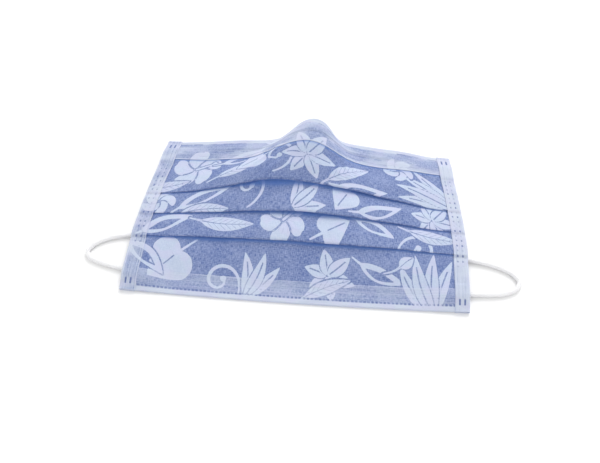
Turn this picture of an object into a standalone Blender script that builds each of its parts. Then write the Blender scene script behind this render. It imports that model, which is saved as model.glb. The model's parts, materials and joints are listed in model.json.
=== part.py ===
"""Pleated three-ply face mask with two round elastic ear loops, lying inner face down.

Run with blender --background --python part.py, or from Blender's text editor.
Lengths are metres. X runs across the mask, Y from the chin edge to the nose edge, +Z is up.
Every piece is modelled in the cloth's own coordinates: across (distance along the cloth from
the middle), up (distance from the chin edge) and height above the inner face. One function
carries those onto the rounded form. The parent empty brings the chin edge's frame to the
origin, which lies under the middle of the cloth on the surface the mask rests on.
"""

import math
from collections import namedtuple
from functools import lru_cache

import bpy
import bmesh
import numpy as np
from mathutils import Vector

# Cloth
MASK_WIDTH = 0.175
MASK_HEIGHT = 0.097
CLOTH = 0.0010
STRIP = 0.0010
GAP = 0.0003

# Hems and side bindings
TOP_HEM_DEPTH = 0.0145
BOTTOM_HEM_DEPTH = 0.0115
BINDING_WIDTH = 0.0080
STRIP_BEND = 0.0008
BINDING_LEAD = 0.0070

# Nose wire and the channel that the top hem makes over it
WIRE_LENGTH = 0.100
WIRE_WIDTH = 0.0032
WIRE_THICKNESS = 0.0008
WIRE_FROM_EDGE = 0.0057
CHANNEL_CLEARANCE = 0.0006
CHANNEL_RAMP = 0.0010
CHANNEL_FADE = 0.0060

# Pleats: overlap and layer spacing at the pressed sides and in the open middle
OVERLAP_SIDE = 0.0080
OVERLAP_MIDDLE = 0.0060
PITCH_SIDE = 0.00115
PITCH_MIDDLE = 0.0016
FOLD_STEPS = 3
PRESSED_POWER = 1.5
RAMP_END_FROM_HEM = 0.0020

# The rounded form: arched middle, bump bent into the nose wire, lifted sides
CROWN_RISE = 0.0080
BUMP_RISE = 0.0170
BUMP_SPREAD = 0.0165
BUMP_OFFSET = 0.0040
NOSE_LEAN = 0.0015
CHIN_BOW = 0.0014
CORNER_RUN_CHIN = 0.0090
CORNER_RUN_NOSE = 0.0110
FLAT_HALF = 0.060
FLAT_DEPTH = 0.0060
FLAT_FADE = 0.0160
STEEPEST = 0.93

# Ear loops
LOOP_DIAMETER = 0.0024
LOOP_HEIGHT = 0.0013
LOOP_CLEARANCE = 0.0004
LOOP_STEP_DIAMETERS = 2.0
LOOP_BEVEL_RESOLUTION = 2

# Spacing of the sections across the cloth and along the bindings
FINE_STEP = 0.0033
FINE_HALF = 0.026
COARSE_STEP = 0.0088
HEM_STEP = 0.0021
MIDDLE_STEP = 0.0075
ARC_STEPS = 120
LANDING_STEPS = 3
HEM_TURN_STEPS = 3
BINDING_TURN_STEPS = 2
ROUTE_STEPS = 24
SLOPE_PROBE = 0.0002
SHARP_ABOVE_DEGREES = 50

HALF_WIDTH = MASK_WIDTH / 2
BINDING_INNER = HALF_WIDTH - BINDING_WIDTH
MIDDLE_UP = (MASK_HEIGHT + NOSE_LEAN - CHIN_BOW) / 2

# Height under the pressed side edges: the folded strip lies under the cloth, and between the
# corners a loop's cord passes under that.
CORNER_LIFT = STRIP + GAP
SIDE_LIFT = LOOP_HEIGHT + LOOP_DIAMETER / 2 + LOOP_CLEARANCE + STRIP + GAP

# Sections of the form from the chin edge up. along is a share of MASK_HEIGHT, crown of
# CROWN_RISE, bump of BUMP_RISE, spread of BUMP_SPREAD, shift of BUMP_OFFSET and half of
# HALF_WIDTH, to which the form draws the side edges in; taper is the power with which the
# crown falls away towards the sides.
Section = namedtuple("Section", "along crown taper bump spread shift half")
SECTIONS = (
    Section(0.00, 0.00, 1.0, 0.00, 2.8, -2.5, 1.000),
    Section(0.07, 0.00, 1.0, 0.00, 2.8, -2.5, 1.000),
    Section(0.13, 0.12, 1.0, 0.00, 2.8, -2.5, 1.000),
    Section(0.32, 0.55, 1.3, 0.02, 2.8, -2.5, 0.998),
    Section(0.49, 0.70, 2.2, 0.09, 2.6, -2.5, 0.988),
    Section(0.66, 0.78, 3.0, 0.32, 2.2, -2.6, 0.967),
    Section(0.77, 0.85, 3.0, 0.68, 1.5, -1.0, 0.948),
    Section(0.86, 0.84, 3.0, 1.00, 1.1, 0.2, 0.931),
    Section(1.00, 0.84, 2.4, 1.00, 1.0, 1.0, 0.910),
)

# Pleats from the chin up. edge is the share of MASK_HEIGHT at which the fold shows at the
# sides, and climb how much further up it lies in the middle.
Pleat = namedtuple("Pleat", "edge climb")
PLEATS = (
    Pleat(0.320, 0.004),
    Pleat(0.464, 0.030),
    Pleat(0.603, 0.060),
)

# The loops' routes from the nose-side weld, under the mask, out past the side edge and back
# to the chin-side weld: distance across and up from the chin edge.
LEFT_ROUTE = (
    (-0.0765, 0.0865), (-0.0750, 0.0815), (-0.0695, 0.0768), (-0.0605, 0.0730),
    (-0.0485, 0.0672), (-0.0400, 0.0570), (-0.0405, 0.0462), (-0.0505, 0.0392),
    (-0.0650, 0.0360), (-0.0770, 0.0338), (-0.0868, 0.0322), (-0.0912, 0.0314),
    (-0.0973, 0.0299), (-0.1014, 0.0281), (-0.1054, 0.0257), (-0.1078, 0.0233),
    (-0.1089, 0.0205), (-0.1072, 0.0174), (-0.1040, 0.0156), (-0.0989, 0.0139),
    (-0.0927, 0.0125), (-0.0871, 0.0115), (-0.0830, 0.0108),
)
RIGHT_ROUTE = (
    (0.0765, 0.0865), (0.0750, 0.0815), (0.0695, 0.0765), (0.0605, 0.0725),
    (0.0505, 0.0660), (0.0440, 0.0560), (0.0450, 0.0450), (0.0535, 0.0375),
    (0.0660, 0.0335), (0.0780, 0.0312), (0.0880, 0.0295), (0.0923, 0.0287),
    (0.0973, 0.0278), (0.1011, 0.0268), (0.1050, 0.0254), (0.1089, 0.0234),
    (0.1116, 0.0209), (0.1127, 0.0180), (0.1112, 0.0147), (0.1081, 0.0126),
    (0.1045, 0.0113), (0.1000, 0.0105), (0.0926, 0.0100), (0.0877, 0.0098),
    (0.0830, 0.0098),
)

# Finishes: linear colour, roughness and metallic value
Finish = namedtuple("Finish", "red green blue roughness metallic")
PRINTED_CLOTH = Finish(0.23, 0.31, 0.56, 0.90, 0.0)
WHITE_STRIP = Finish(0.60, 0.68, 0.86, 0.88, 0.0)
COATED_WIRE = Finish(0.80, 0.81, 0.82, 0.45, 0.0)
ELASTIC = Finish(0.80, 0.80, 0.80, 0.85, 0.0)


def clear_scene():
    """Remove every object that the scene starts with."""
    for thing in list(bpy.data.objects):
        bpy.data.objects.remove(thing, do_unlink=True)


def ease(value):
    """Go smoothly from 0 to 1 as value does, and stay there outside."""
    held = min(max(value, 0.0), 1.0)
    return held * held * (3 - 2 * held)


def column_at(rows, column, along):
    """Read a table's column at a share along, smoothly and never past its rows."""
    places = [row.along for row in rows]
    values = [getattr(row, column) for row in rows]
    rises = [
        (values[i + 1] - values[i]) / (places[i + 1] - places[i])
        for i in range(len(rows) - 1)
    ]
    slopes = [0.0]
    for before, after in zip(rises, rises[1:]):
        together = before * after > 0
        slopes.append(2 * before * after / (before + after) if together else 0.0)
    slopes.append(rises[-1])
    held = min(max(along, places[0]), places[-1])
    index = max(i for i in range(len(rises)) if places[i] <= held)
    run = places[index + 1] - places[index]
    t = (held - places[index]) / run
    return (
        values[index] * (1 + 2 * t) * (1 - t) ** 2
        + slopes[index] * run * t * (1 - t) ** 2
        + values[index + 1] * t * t * (3 - 2 * t)
        + slopes[index + 1] * run * t * t * (t - 1)
    )


def side_lift(up):
    """Height of the cloth's inner face at its side edge."""
    from_chin = ease(up / CORNER_RUN_CHIN)
    from_nose = ease((MASK_HEIGHT - up) / CORNER_RUN_NOSE)
    return CORNER_LIFT + (SIDE_LIFT - CORNER_LIFT) * min(from_chin, from_nose)


def inner_face(across, up):
    """Height of the cloth's inner face, for an array of places across at one place up."""
    along = up / MASK_HEIGHT
    share = np.clip(np.abs(across) / HALF_WIDTH, 0.0, 1.0)
    falling = (1 - share ** 2) ** column_at(SECTIONS, "taper", along)
    rim = np.clip((np.abs(across) - FLAT_HALF) / (BINDING_INNER - FLAT_HALF), 0.0, 1.0)
    rim = rim * rim * (3 - 2 * rim)
    opened = ease((up - FLAT_DEPTH) / FLAT_FADE)
    lift = side_lift(up)
    crown = CROWN_RISE * column_at(SECTIONS, "crown", along)
    base = lift * (opened + (1 - opened) * rim) + (crown - lift * opened) * falling
    centre = BUMP_OFFSET * column_at(SECTIONS, "shift", along)
    spread = BUMP_SPREAD * column_at(SECTIONS, "spread", along)
    bump = BUMP_RISE * column_at(SECTIONS, "bump", along)
    return base + bump * np.exp(-(((across - centre) / spread) ** 2)) * (1 - share ** 4)


def plain_run(across, up):
    """Distance from the middle, seen from above, of cloth that keeps its length across."""
    steps = np.linspace(0.0, across, ARC_STEPS + 1)
    climbs = np.diff(inner_face(steps, up))
    step = across / ARC_STEPS
    limit = STEEPEST * abs(step)
    runs = np.sqrt(np.maximum(step ** 2 - np.clip(climbs, -limit, limit) ** 2, 0.0))
    return math.copysign(float(runs.sum()), across)


@lru_cache(maxsize=None)
def gather(side, up):
    """How much the cloth is gathered across, so that its side edge lies where it does."""
    edge = side * HALF_WIDTH
    return edge * column_at(SECTIONS, "half", up / MASK_HEIGHT) / plain_run(edge, up)


def place(across, up, height):
    """Carry a point of the cloth onto the form.

    Where the cloth climbs it draws the side edges in. height is measured square to the
    cloth, seen along Y.
    """
    x = plain_run(across, up) * gather(math.copysign(1.0, across), up)
    around = inner_face(np.array([across - SLOPE_PROBE, across, across + SLOPE_PROBE]), up)
    slope = float(np.clip((around[2] - around[0]) / (2 * SLOPE_PROBE), -STEEPEST, STEEPEST))
    share = across / HALF_WIDTH
    along = up / MASK_HEIGHT
    bow = CHIN_BOW * (1 - share ** 2) * (1 - along) ** 2
    lean = NOSE_LEAN * math.exp(-(((across - BUMP_OFFSET) / BUMP_SPREAD) ** 2)) * along ** 4
    return Vector((
        x - slope * height,
        up - bow + lean,
        float(around[1]) + math.sqrt(1 - slope ** 2) * height,
    ))


def openness(across):
    """Go from 0 at the side bindings, where the pleats are pressed, to 1 in the middle."""
    share = min(abs(across) / BINDING_INNER, 1.0)
    return (1 - share ** 2) ** PRESSED_POWER


def spaced(start, end, step):
    """Even places from start to end, both taken in, about a step apart."""
    count = max(1, round((end - start) / step))
    return [start + (end - start) * i / count for i in range(count + 1)]


def stations(half_length):
    """Places across the cloth out to half_length.

    They are close together round the bump and wider apart outside it, and every strip and
    layer shares them, so that the layers stay evenly apart.
    """
    shared = spaced(0.0, FINE_HALF, FINE_STEP)
    shared += spaced(FINE_HALF, BINDING_INNER - GAP, COARSE_STEP)[1:]
    outward = [value for value in shared if value < half_length - GAP] + [half_length]
    return [-value for value in reversed(outward[1:])] + outward


def chin_places():
    """Places up the cloth under the chin hem, shared by all its layers."""
    return spaced(STRIP + GAP, BOTTOM_HEM_DEPTH, HEM_STEP)


def nose_places():
    """Places up the cloth under the nose hem, with the channel's corners among them."""
    wire_up = MASK_HEIGHT - WIRE_FROM_EDGE
    half = WIRE_WIDTH / 2 + CHANNEL_CLEARANCE
    ramp_start = wire_up - half - CHANNEL_RAMP
    before = spaced(MASK_HEIGHT - TOP_HEM_DEPTH, ramp_start, HEM_STEP)
    across_wire = [wire_up - half, wire_up, wire_up + half]
    return before + across_wire + [wire_up + half + CHANNEL_RAMP, MASK_HEIGHT - STRIP - GAP]


def arc(centre_up, centre_height, radius, start, end, steps):
    """Points of an arc in an (up, height) section, angles in degrees from +up."""
    points = []
    for i in range(steps + 1):
        angle = math.radians(start + (end - start) * i / steps)
        points.append((
            centre_up + radius * math.cos(angle),
            centre_height + radius * math.sin(angle),
        ))
    return points


def pleat_lines(pleat, across):
    """Where a pleat's outer edge and its inner tuck lie, and the spacing of its layers."""
    opened = openness(across)
    edge = MASK_HEIGHT * (pleat.edge + pleat.climb * opened)
    overlap = OVERLAP_SIDE + (OVERLAP_MIDDLE - OVERLAP_SIDE) * opened
    pitch = PITCH_SIDE + (PITCH_MIDDLE - PITCH_SIDE) * opened
    return edge, edge + overlap, pitch


def panel_section(across):
    """Middle line of the pleated cloth from chin to nose, as (up, height) points."""
    base = CLOTH / 2
    first_edge = pleat_lines(PLEATS[0], across)[0]
    path = [(up, base) for up in chin_places()]
    path += [(up, base) for up in spaced(BOTTOM_HEM_DEPTH, first_edge, MIDDLE_STEP)[1:]]
    for number, pleat in enumerate(PLEATS):
        edge, tuck, pitch = pleat_lines(pleat, across)
        bend = pitch / 2
        path += arc(tuck - bend, base + bend, bend, -90, 90, FOLD_STEPS)
        path += arc(edge + bend, base + 3 * bend, bend, 270, 90, FOLD_STEPS)
        path.append((tuck + CLOTH / 2, base + 4 * bend))
        if number + 1 < len(PLEATS):
            path.append((pleat_lines(PLEATS[number + 1], across)[0], base))
            continue
        landing = MASK_HEIGHT - TOP_HEM_DEPTH - RAMP_END_FROM_HEM
        for i in range(1, LANDING_STEPS + 1):
            share = i / LANDING_STEPS
            height = base + 4 * bend * (1 - ease(share))
            path.append((tuck + (landing - tuck) * share, height))
        path += [(up, base) for up in nose_places()]
    return path


def channel_lift(across):
    """How far the top hem stands up over the wire: all of it, fading past the wire's ends."""
    past_end = abs(across) - WIRE_LENGTH / 2 - CHANNEL_CLEARANCE
    return (WIRE_THICKNESS + GAP) * (1 - ease(past_end / CHANNEL_FADE))


def hem_turn(edge_up, direction):
    """The hem strip's turn over the cloth's edge, down to its inner face.

    direction is +1 where the edge faces the nose and -1 where it faces the chin.
    """
    middle = edge_up - direction * STRIP / 2
    level = CLOTH + GAP + STRIP / 2
    turn = arc(0.0, level - STRIP_BEND, STRIP_BEND, 90, 0, HEM_TURN_STEPS)
    return [(middle + direction * (up - STRIP_BEND), height) for up, height in turn] + [
        (middle, 0.0)
    ]


def bottom_hem_section(across):
    """Middle line of the chin hem: flat on the print, then over the chin edge."""
    level = CLOTH + GAP + STRIP / 2
    return [(up, level) for up in reversed(chin_places()[1:])] + hem_turn(0.0, -1)


def top_hem_section(across):
    """Middle line of the nose hem, with the channel that the wire lies in."""
    level = CLOTH + GAP + STRIP / 2
    raised = level + channel_lift(across)
    clear = WIRE_WIDTH / 2 + CHANNEL_CLEARANCE + CHANNEL_RAMP / 2
    wire_up = MASK_HEIGHT - WIRE_FROM_EDGE
    path = []
    for up in nose_places()[:-1]:
        path.append((up, raised if abs(up - wire_up) < clear else level))
    return path + hem_turn(MASK_HEIGHT, 1)


def wire_section(across):
    """Middle line of the flat nose wire, which lies on the cloth inside the channel."""
    wire_up = MASK_HEIGHT - WIRE_FROM_EDGE
    level = CLOTH + GAP + WIRE_THICKNESS / 2
    return [(wire_up + WIRE_WIDTH / 2 * side, level) for side in (-1, 0, 1)]


def offset_section(path, distance):
    """Move a section's points square to it, to the left of its direction."""
    moved = []
    for index, (up, height) in enumerate(path):
        before = path[max(index - 1, 0)]
        after = path[min(index + 1, len(path) - 1)]
        arriving = Vector((up - before[0], height - before[1]))
        leaving = Vector((after[0] - up, after[1] - height))
        heading = Vector((0.0, 0.0))
        for part in (arriving, leaving):
            if part.length > 0:
                heading += part.normalized()
        heading.normalize()
        moved.append((up - heading.y * distance, height + heading.x * distance))
    return moved


def wall_mesh(name, lower, upper):
    """Make one closed wall between two grids of points with the same rows and columns."""
    rows = len(lower)
    columns = len(lower[0])
    mesh = bmesh.new()
    under = [[mesh.verts.new(point) for point in row] for row in lower]
    over = [[mesh.verts.new(point) for point in row] for row in upper]
    for i in range(rows - 1):
        for j in range(columns - 1):
            mesh.faces.new((over[i][j], over[i + 1][j], over[i + 1][j + 1], over[i][j + 1]))
            mesh.faces.new((under[i][j], under[i][j + 1], under[i + 1][j + 1], under[i + 1][j]))
    for i in range(rows - 1):
        for j in (0, columns - 1):
            mesh.faces.new((under[i][j], under[i + 1][j], over[i + 1][j], over[i][j]))
    for j in range(columns - 1):
        for i in (0, rows - 1):
            mesh.faces.new((under[i][j], under[i][j + 1], over[i][j + 1], over[i][j]))
    bmesh.ops.recalc_face_normals(mesh, faces=mesh.faces)
    data = bpy.data.meshes.new(name)
    mesh.to_mesh(data)
    mesh.free()
    data.shade_smooth()
    data.set_sharp_from_angle(angle=math.radians(SHARP_ABOVE_DEGREES))
    return data


def swept_strip(name, half_length, section, thickness):
    """Make a wall whose section, an (up, height) line, runs across the cloth."""
    lower = []
    upper = []
    for across in stations(half_length):
        path = section(across)
        for rows, side in ((lower, -1), (upper, 1)):
            moved = offset_section(path, side * thickness / 2)
            rows.append([place(across, up, height) for up, height in moved])
    return wall_mesh(name, lower, upper)


def folded_span():
    """Where the folded layers lie at the sides: from the first edge to the last tuck."""
    return pleat_lines(PLEATS[0], HALF_WIDTH)[0], pleat_lines(PLEATS[-1], HALF_WIDTH)[1]


def binding_height(up):
    """Height of the binding's outer layer over the cloth's inner face, to its middle."""
    first_edge, last_tuck = folded_span()
    rising = ease((up - first_edge + BINDING_LEAD) / (BINDING_LEAD - CLOTH))
    hem_border = MASK_HEIGHT - TOP_HEM_DEPTH
    falling = ease((hem_border - up) / (hem_border - last_tuck))
    return CLOTH + 2 * PITCH_SIDE * min(rising, falling) + GAP + STRIP / 2


def binding_places():
    """Places up the cloth at which a side binding has a section."""
    first_edge, last_tuck = folded_span()
    places = [0.0] + chin_places()
    places += spaced(BOTTOM_HEM_DEPTH, first_edge - BINDING_LEAD, MIDDLE_STEP)[1:]
    places += spaced(first_edge - BINDING_LEAD, first_edge - CLOTH, HEM_STEP)[1:]
    places += spaced(first_edge - CLOTH, last_tuck, MIDDLE_STEP)[1:]
    places += spaced(last_tuck, MASK_HEIGHT - TOP_HEM_DEPTH, 2 * HEM_STEP)[1:]
    return places + nose_places()[1:] + [MASK_HEIGHT]


def binding_mesh(name, side):
    """Make a strip folded round a side edge; side is -1 on the left and +1 on the right."""
    under = -GAP - STRIP / 2
    outside = HALF_WIDTH - STRIP / 2
    lower = []
    upper = []
    for up in binding_places():
        over = binding_height(up)
        corner = outside - STRIP_BEND
        path = [(BINDING_INNER, under)]
        path += arc(corner, under + STRIP_BEND, STRIP_BEND, -90, 0, BINDING_TURN_STEPS)
        path += arc(corner, over - STRIP_BEND, STRIP_BEND, 0, 90, BINDING_TURN_STEPS)
        path.append((BINDING_INNER, over))
        for rows, offset in ((lower, -STRIP / 2), (upper, STRIP / 2)):
            moved = offset_section(path, offset)
            rows.append([place(side * across, up, height) for across, height in moved])
    return wall_mesh(name, lower, upper)


def smooth_route(points, spacing):
    """Read points at an even spacing from a smooth curve through a route's own points."""
    ends = [points[0] * 2 - points[1]] + points + [points[-1] * 2 - points[-2]]
    fine = []
    for p0, p1, p2, p3 in zip(ends, ends[1:], ends[2:], ends[3:]):
        for i in range(ROUTE_STEPS):
            t = i / ROUTE_STEPS
            fine.append(0.5 * (
                2 * p1 + (p2 - p0) * t
                + (2 * p0 - 5 * p1 + 4 * p2 - p3) * t * t
                + (3 * p1 - p0 - 3 * p2 + p3) * t ** 3
            ))
    fine.append(points[-1])
    lengths = [0.0]
    for before, after in zip(fine, fine[1:]):
        lengths.append(lengths[-1] + (after - before).length)
    count = round(lengths[-1] / spacing)
    even = []
    for i in range(count + 1):
        wanted = lengths[-1] * i / count
        index = max(k for k in range(len(lengths) - 1) if lengths[k] <= wanted + 1e-12)
        run = lengths[index + 1] - lengths[index]
        even.append(fine[index].lerp(fine[index + 1], (wanted - lengths[index]) / run))
    return even


def loop_curve(name, route):
    """Make an ear loop: a round cord along its route, with filled ends."""
    points = [Vector((x, y, LOOP_HEIGHT)) for x, y in route]
    even = smooth_route(points, LOOP_STEP_DIAMETERS * LOOP_DIAMETER)
    curve = bpy.data.curves.new(name, "CURVE")
    curve.dimensions = "3D"
    curve.bevel_depth = LOOP_DIAMETER / 2
    curve.bevel_resolution = LOOP_BEVEL_RESOLUTION
    curve.use_fill_caps = True
    spline = curve.splines.new("POLY")
    spline.points.add(len(even) - 1)
    for point, where in zip(spline.points, even):
        point.co = (*where, 1.0)
    return curve


def make_material(name, finish):
    """Make a Principled material from a finish."""
    material = bpy.data.materials.new(name)
    material.use_nodes = True
    shader = material.node_tree.nodes["Principled BSDF"]
    shader.inputs["Base Color"].default_value = (finish.red, finish.green, finish.blue, 1.0)
    shader.inputs["Roughness"].default_value = finish.roughness
    shader.inputs["Metallic"].default_value = finish.metallic
    return material


def add_piece(name, data, parent, finish):
    """Add one named piece with its own material under the mask's frame."""
    piece = bpy.data.objects.new(name, data)
    bpy.context.scene.collection.objects.link(piece)
    piece.parent = parent
    data.materials.append(make_material(name, finish))
    return piece


def build_mask():
    """Build every piece of the mask."""
    clear_scene()
    frame = bpy.data.objects.new("chin_edge_frame", None)
    bpy.context.scene.collection.objects.link(frame)
    frame.location = (0.0, -MIDDLE_UP, 0.0)
    panel_half = HALF_WIDTH - STRIP - GAP
    hem_half = BINDING_INNER - GAP

    panel = swept_strip("mask_panel", panel_half, panel_section, CLOTH)
    add_piece("mask_panel", panel, frame, PRINTED_CLOTH)
    top_hem = swept_strip("top_hem", hem_half, top_hem_section, STRIP)
    add_piece("top_hem", top_hem, frame, WHITE_STRIP)
    bottom_hem = swept_strip("bottom_hem", hem_half, bottom_hem_section, STRIP)
    add_piece("bottom_hem", bottom_hem, frame, WHITE_STRIP)
    wire = swept_strip("nose_wire", WIRE_LENGTH / 2, wire_section, WIRE_THICKNESS)
    add_piece("nose_wire", wire, frame, COATED_WIRE)
    for word, side in (("left", -1), ("right", 1)):
        name = "side_binding_" + word
        add_piece(name, binding_mesh(name, side), frame, WHITE_STRIP)
    for word, route in (("left", LEFT_ROUTE), ("right", RIGHT_ROUTE)):
        name = "ear_loop_" + word
        add_piece(name, loop_curve(name, route), frame, ELASTIC)


build_mask()
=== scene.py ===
"""Looks of a pleated three-ply face mask with a leaf and flower print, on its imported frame.

Lengths are metres unless a name says millimetres. X runs across the mask, Y from the chin edge
to the nose edge, +Z is up. Each sheet is laid out in the cloth's own coordinates, across and up
its face, and one form carries it onto the rounded mask, as a mask is made flat and then shaped.
"""

from __future__ import annotations

import json
import logging
import math
from dataclasses import dataclass, field
from enum import Enum
from typing import Callable, NamedTuple, Sequence

import bpy
import numpy as np
from mathutils import Matrix, Vector

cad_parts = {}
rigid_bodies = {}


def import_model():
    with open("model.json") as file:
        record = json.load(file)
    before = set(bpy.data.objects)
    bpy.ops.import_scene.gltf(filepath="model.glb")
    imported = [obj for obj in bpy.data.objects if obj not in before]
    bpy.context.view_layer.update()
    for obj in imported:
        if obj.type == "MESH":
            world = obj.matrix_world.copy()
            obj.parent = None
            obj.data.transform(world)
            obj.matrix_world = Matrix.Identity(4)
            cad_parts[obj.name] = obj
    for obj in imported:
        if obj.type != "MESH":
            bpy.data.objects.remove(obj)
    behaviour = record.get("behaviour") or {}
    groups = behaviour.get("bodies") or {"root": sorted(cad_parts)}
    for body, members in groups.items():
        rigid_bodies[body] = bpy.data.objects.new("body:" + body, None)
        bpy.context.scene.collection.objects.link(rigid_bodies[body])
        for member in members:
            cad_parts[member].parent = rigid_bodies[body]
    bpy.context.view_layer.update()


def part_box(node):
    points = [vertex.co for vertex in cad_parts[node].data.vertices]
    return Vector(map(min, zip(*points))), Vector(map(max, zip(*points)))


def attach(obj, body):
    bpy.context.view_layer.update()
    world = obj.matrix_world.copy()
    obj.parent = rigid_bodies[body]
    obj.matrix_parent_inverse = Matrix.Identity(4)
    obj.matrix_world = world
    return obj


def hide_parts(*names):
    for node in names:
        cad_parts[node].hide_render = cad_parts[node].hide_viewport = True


Array = np.ndarray
LOG = logging.getLogger("face_mask")
MILLIMETRES = 1000.0
CLOTH_MAP = "cloth"
SMOOTH_BELOW_DEGREES = 55
MERGE_BELOW = 1e-6
TINY = 1e-12
STUDIO_GAIN = 1.12
SOFT_LIGHT = {
    "Subsurface_Weight": 0.35, "Subsurface_Scale": 0.0012, "Subsurface_Radius": (0.8, 0.9, 1.0),
}
HOLDERS = ("nose_hem", "chin_hem", "binding_left", "binding_right")
MARKS = ("print_edge", "print_rib", "print_vein", "lining", "weld", "painted_fold_shade")


class Side(Enum):
    """Which side of the mask a piece is on, seen from the chin with the print up."""

    LEFT = -1
    RIGHT = 1

    @property
    def word(self) -> str:
        """The side's word in a piece's name."""
        return self.name.lower()


class Edge(Enum):
    """Which edge of the cloth a hem covers."""

    CHIN = -1
    NOSE = 1


class Section(NamedTuple):
    """One section of the form: along is a share of the height, the rest as the form says."""

    along: float
    crown: float
    taper: float
    bump: float
    spread: float
    shift: float
    half: float


class Pleat(NamedTuple):
    """A pleat: the share of the height where its fold shows, and how far it climbs."""

    edge: float
    climb: float


class Puff(NamedTuple):
    """A stretch where a fold stands off the cloth below it."""

    pleat: int
    across: float
    spread: float
    height: float


class Wave(NamedTuple):
    """A long wave in the cloth: its turn to a millimetre each way, its start and its share."""

    across: float
    up: float
    start: float
    share: float


class Gather(NamedTuple):
    """A patch of small creases that the bent wire draws in the cloth, in millimetres."""

    across: float
    up: float
    reach: float
    degrees: float
    pitch: float
    depth: float


class Row(NamedTuple):
    """A row of a sheet's section: its place along the section, its height, and if it shows."""

    place: Array | float
    height: Array | float
    shown: bool = True


SECTIONS = (
    Section(0.00, 0.00, 1.0, 0.00, 2.8, -2.5, 1.000),
    Section(0.07, 0.00, 1.0, 0.00, 2.8, -2.5, 1.000),
    Section(0.13, 0.12, 1.0, 0.00, 2.8, -2.5, 1.000),
    Section(0.32, 0.55, 1.3, 0.02, 2.8, -2.5, 0.998),
    Section(0.49, 0.70, 2.2, 0.09, 2.6, -2.5, 0.984),
    Section(0.66, 0.78, 3.0, 0.32, 2.2, -2.6, 0.961),
    Section(0.77, 0.85, 3.0, 0.68, 1.7, -1.0, 0.944),
    Section(0.86, 0.84, 3.0, 1.00, 1.4, 0.2, 0.933),
    Section(1.00, 0.84, 2.4, 1.00, 1.0, 1.0, 0.920),
)
PLEATS = (Pleat(0.320, 0.004), Pleat(0.464, 0.030), Pleat(0.603, 0.060))
PUFFS = (
    Puff(0, -0.044, 0.017, 0.0009),
    Puff(0, 0.020, 0.030, 0.0004),
    Puff(1, 0.006, 0.020, 0.0010),
    Puff(2, -0.016, 0.014, 0.0018),
    Puff(2, 0.026, 0.022, 0.0007),
)
WAVES = (
    Wave(0.115, 0.060, 0.8, 1.0),
    Wave(-0.071, 0.140, 2.1, 0.8),
    Wave(0.230, -0.050, 4.0, 0.6),
    Wave(0.050, 0.260, 5.2, 0.5),
)
GATHERS = (
    Gather(-19.0, 76.0, 9.0, 52.0, 5.4, 0.50),
    Gather(24.0, 75.0, 8.0, -12.0, 5.6, 0.34),
)

LEFT_ROUTE = (
    (-0.0765, 0.0865), (-0.0750, 0.0815), (-0.0695, 0.0768), (-0.0605, 0.0730),
    (-0.0485, 0.0672), (-0.0400, 0.0570), (-0.0405, 0.0462), (-0.0505, 0.0392),
    (-0.0650, 0.0360), (-0.0770, 0.0338), (-0.0868, 0.0322), (-0.0912, 0.0314),
    (-0.0973, 0.0299), (-0.1014, 0.0281), (-0.1054, 0.0257), (-0.1078, 0.0233),
    (-0.1089, 0.0205), (-0.1072, 0.0174), (-0.1040, 0.0156), (-0.0989, 0.0139),
    (-0.0927, 0.0125), (-0.0871, 0.0115), (-0.0830, 0.0108),
)
RIGHT_ROUTE = (
    (0.0765, 0.0865), (0.0750, 0.0815), (0.0695, 0.0765), (0.0605, 0.0725),
    (0.0505, 0.0660), (0.0440, 0.0560), (0.0450, 0.0450), (0.0535, 0.0375),
    (0.0660, 0.0335), (0.0780, 0.0312), (0.0880, 0.0295), (0.0923, 0.0287),
    (0.0973, 0.0278), (0.1011, 0.0268), (0.1050, 0.0254), (0.1089, 0.0234),
    (0.1116, 0.0209), (0.1127, 0.0180), (0.1112, 0.0147), (0.1081, 0.0126),
    (0.1045, 0.0113), (0.1000, 0.0105), (0.0926, 0.0100), (0.0877, 0.0098),
    (0.0830, 0.0098),
)


def ease(value: Array | float) -> Array:
    """Go smoothly from 0 to 1 as value does, and stay there outside."""
    held = np.clip(value, 0.0, 1.0)
    return held * held * (3 - 2 * held)


def between(low: float, high: float, value: Array | float) -> Array:
    """Ease from 0 where value is low to 1 where it is high."""
    return ease((np.asarray(value) - low) / (high - low))


def bell(distance: Array | float, spread: float) -> Array:
    """A smooth hump of height 1 that fades with distance."""
    return np.exp(-((np.asarray(distance) / spread) ** 2))


def turned(x: Array, y: Array, degrees: float) -> tuple[Array, Array]:
    """Read places on axes that are turned by an angle."""
    turn = math.radians(degrees)
    return x * math.cos(turn) + y * math.sin(turn), y * math.cos(turn) - x * math.sin(turn)


def ridge(distance: Array, reach: float, rounding: float) -> Array:
    """A hump of height 1 with straight flanks, a rounded crest and rounded feet.

    Args:
        distance: Distance from the crest.
        reach: How far out a flank's foot lies.
        rounding: How round the crest and the feet are, as a share of the reach.

    Returns:
        The height, from 1 at the crest to 0 far out.
    """
    def rising(value: Array | float) -> Array:
        """A slope that starts at 0, with a rounded foot."""
        return (value + np.sqrt(np.square(value) + rounding ** 2)) / 2

    share = np.asarray(distance) / reach
    crest = rising(1.0) - 2 * rising(0.0) + rising(-1.0)
    return (rising(share + 1) - 2 * rising(share) + rising(share - 1)) / crest


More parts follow.
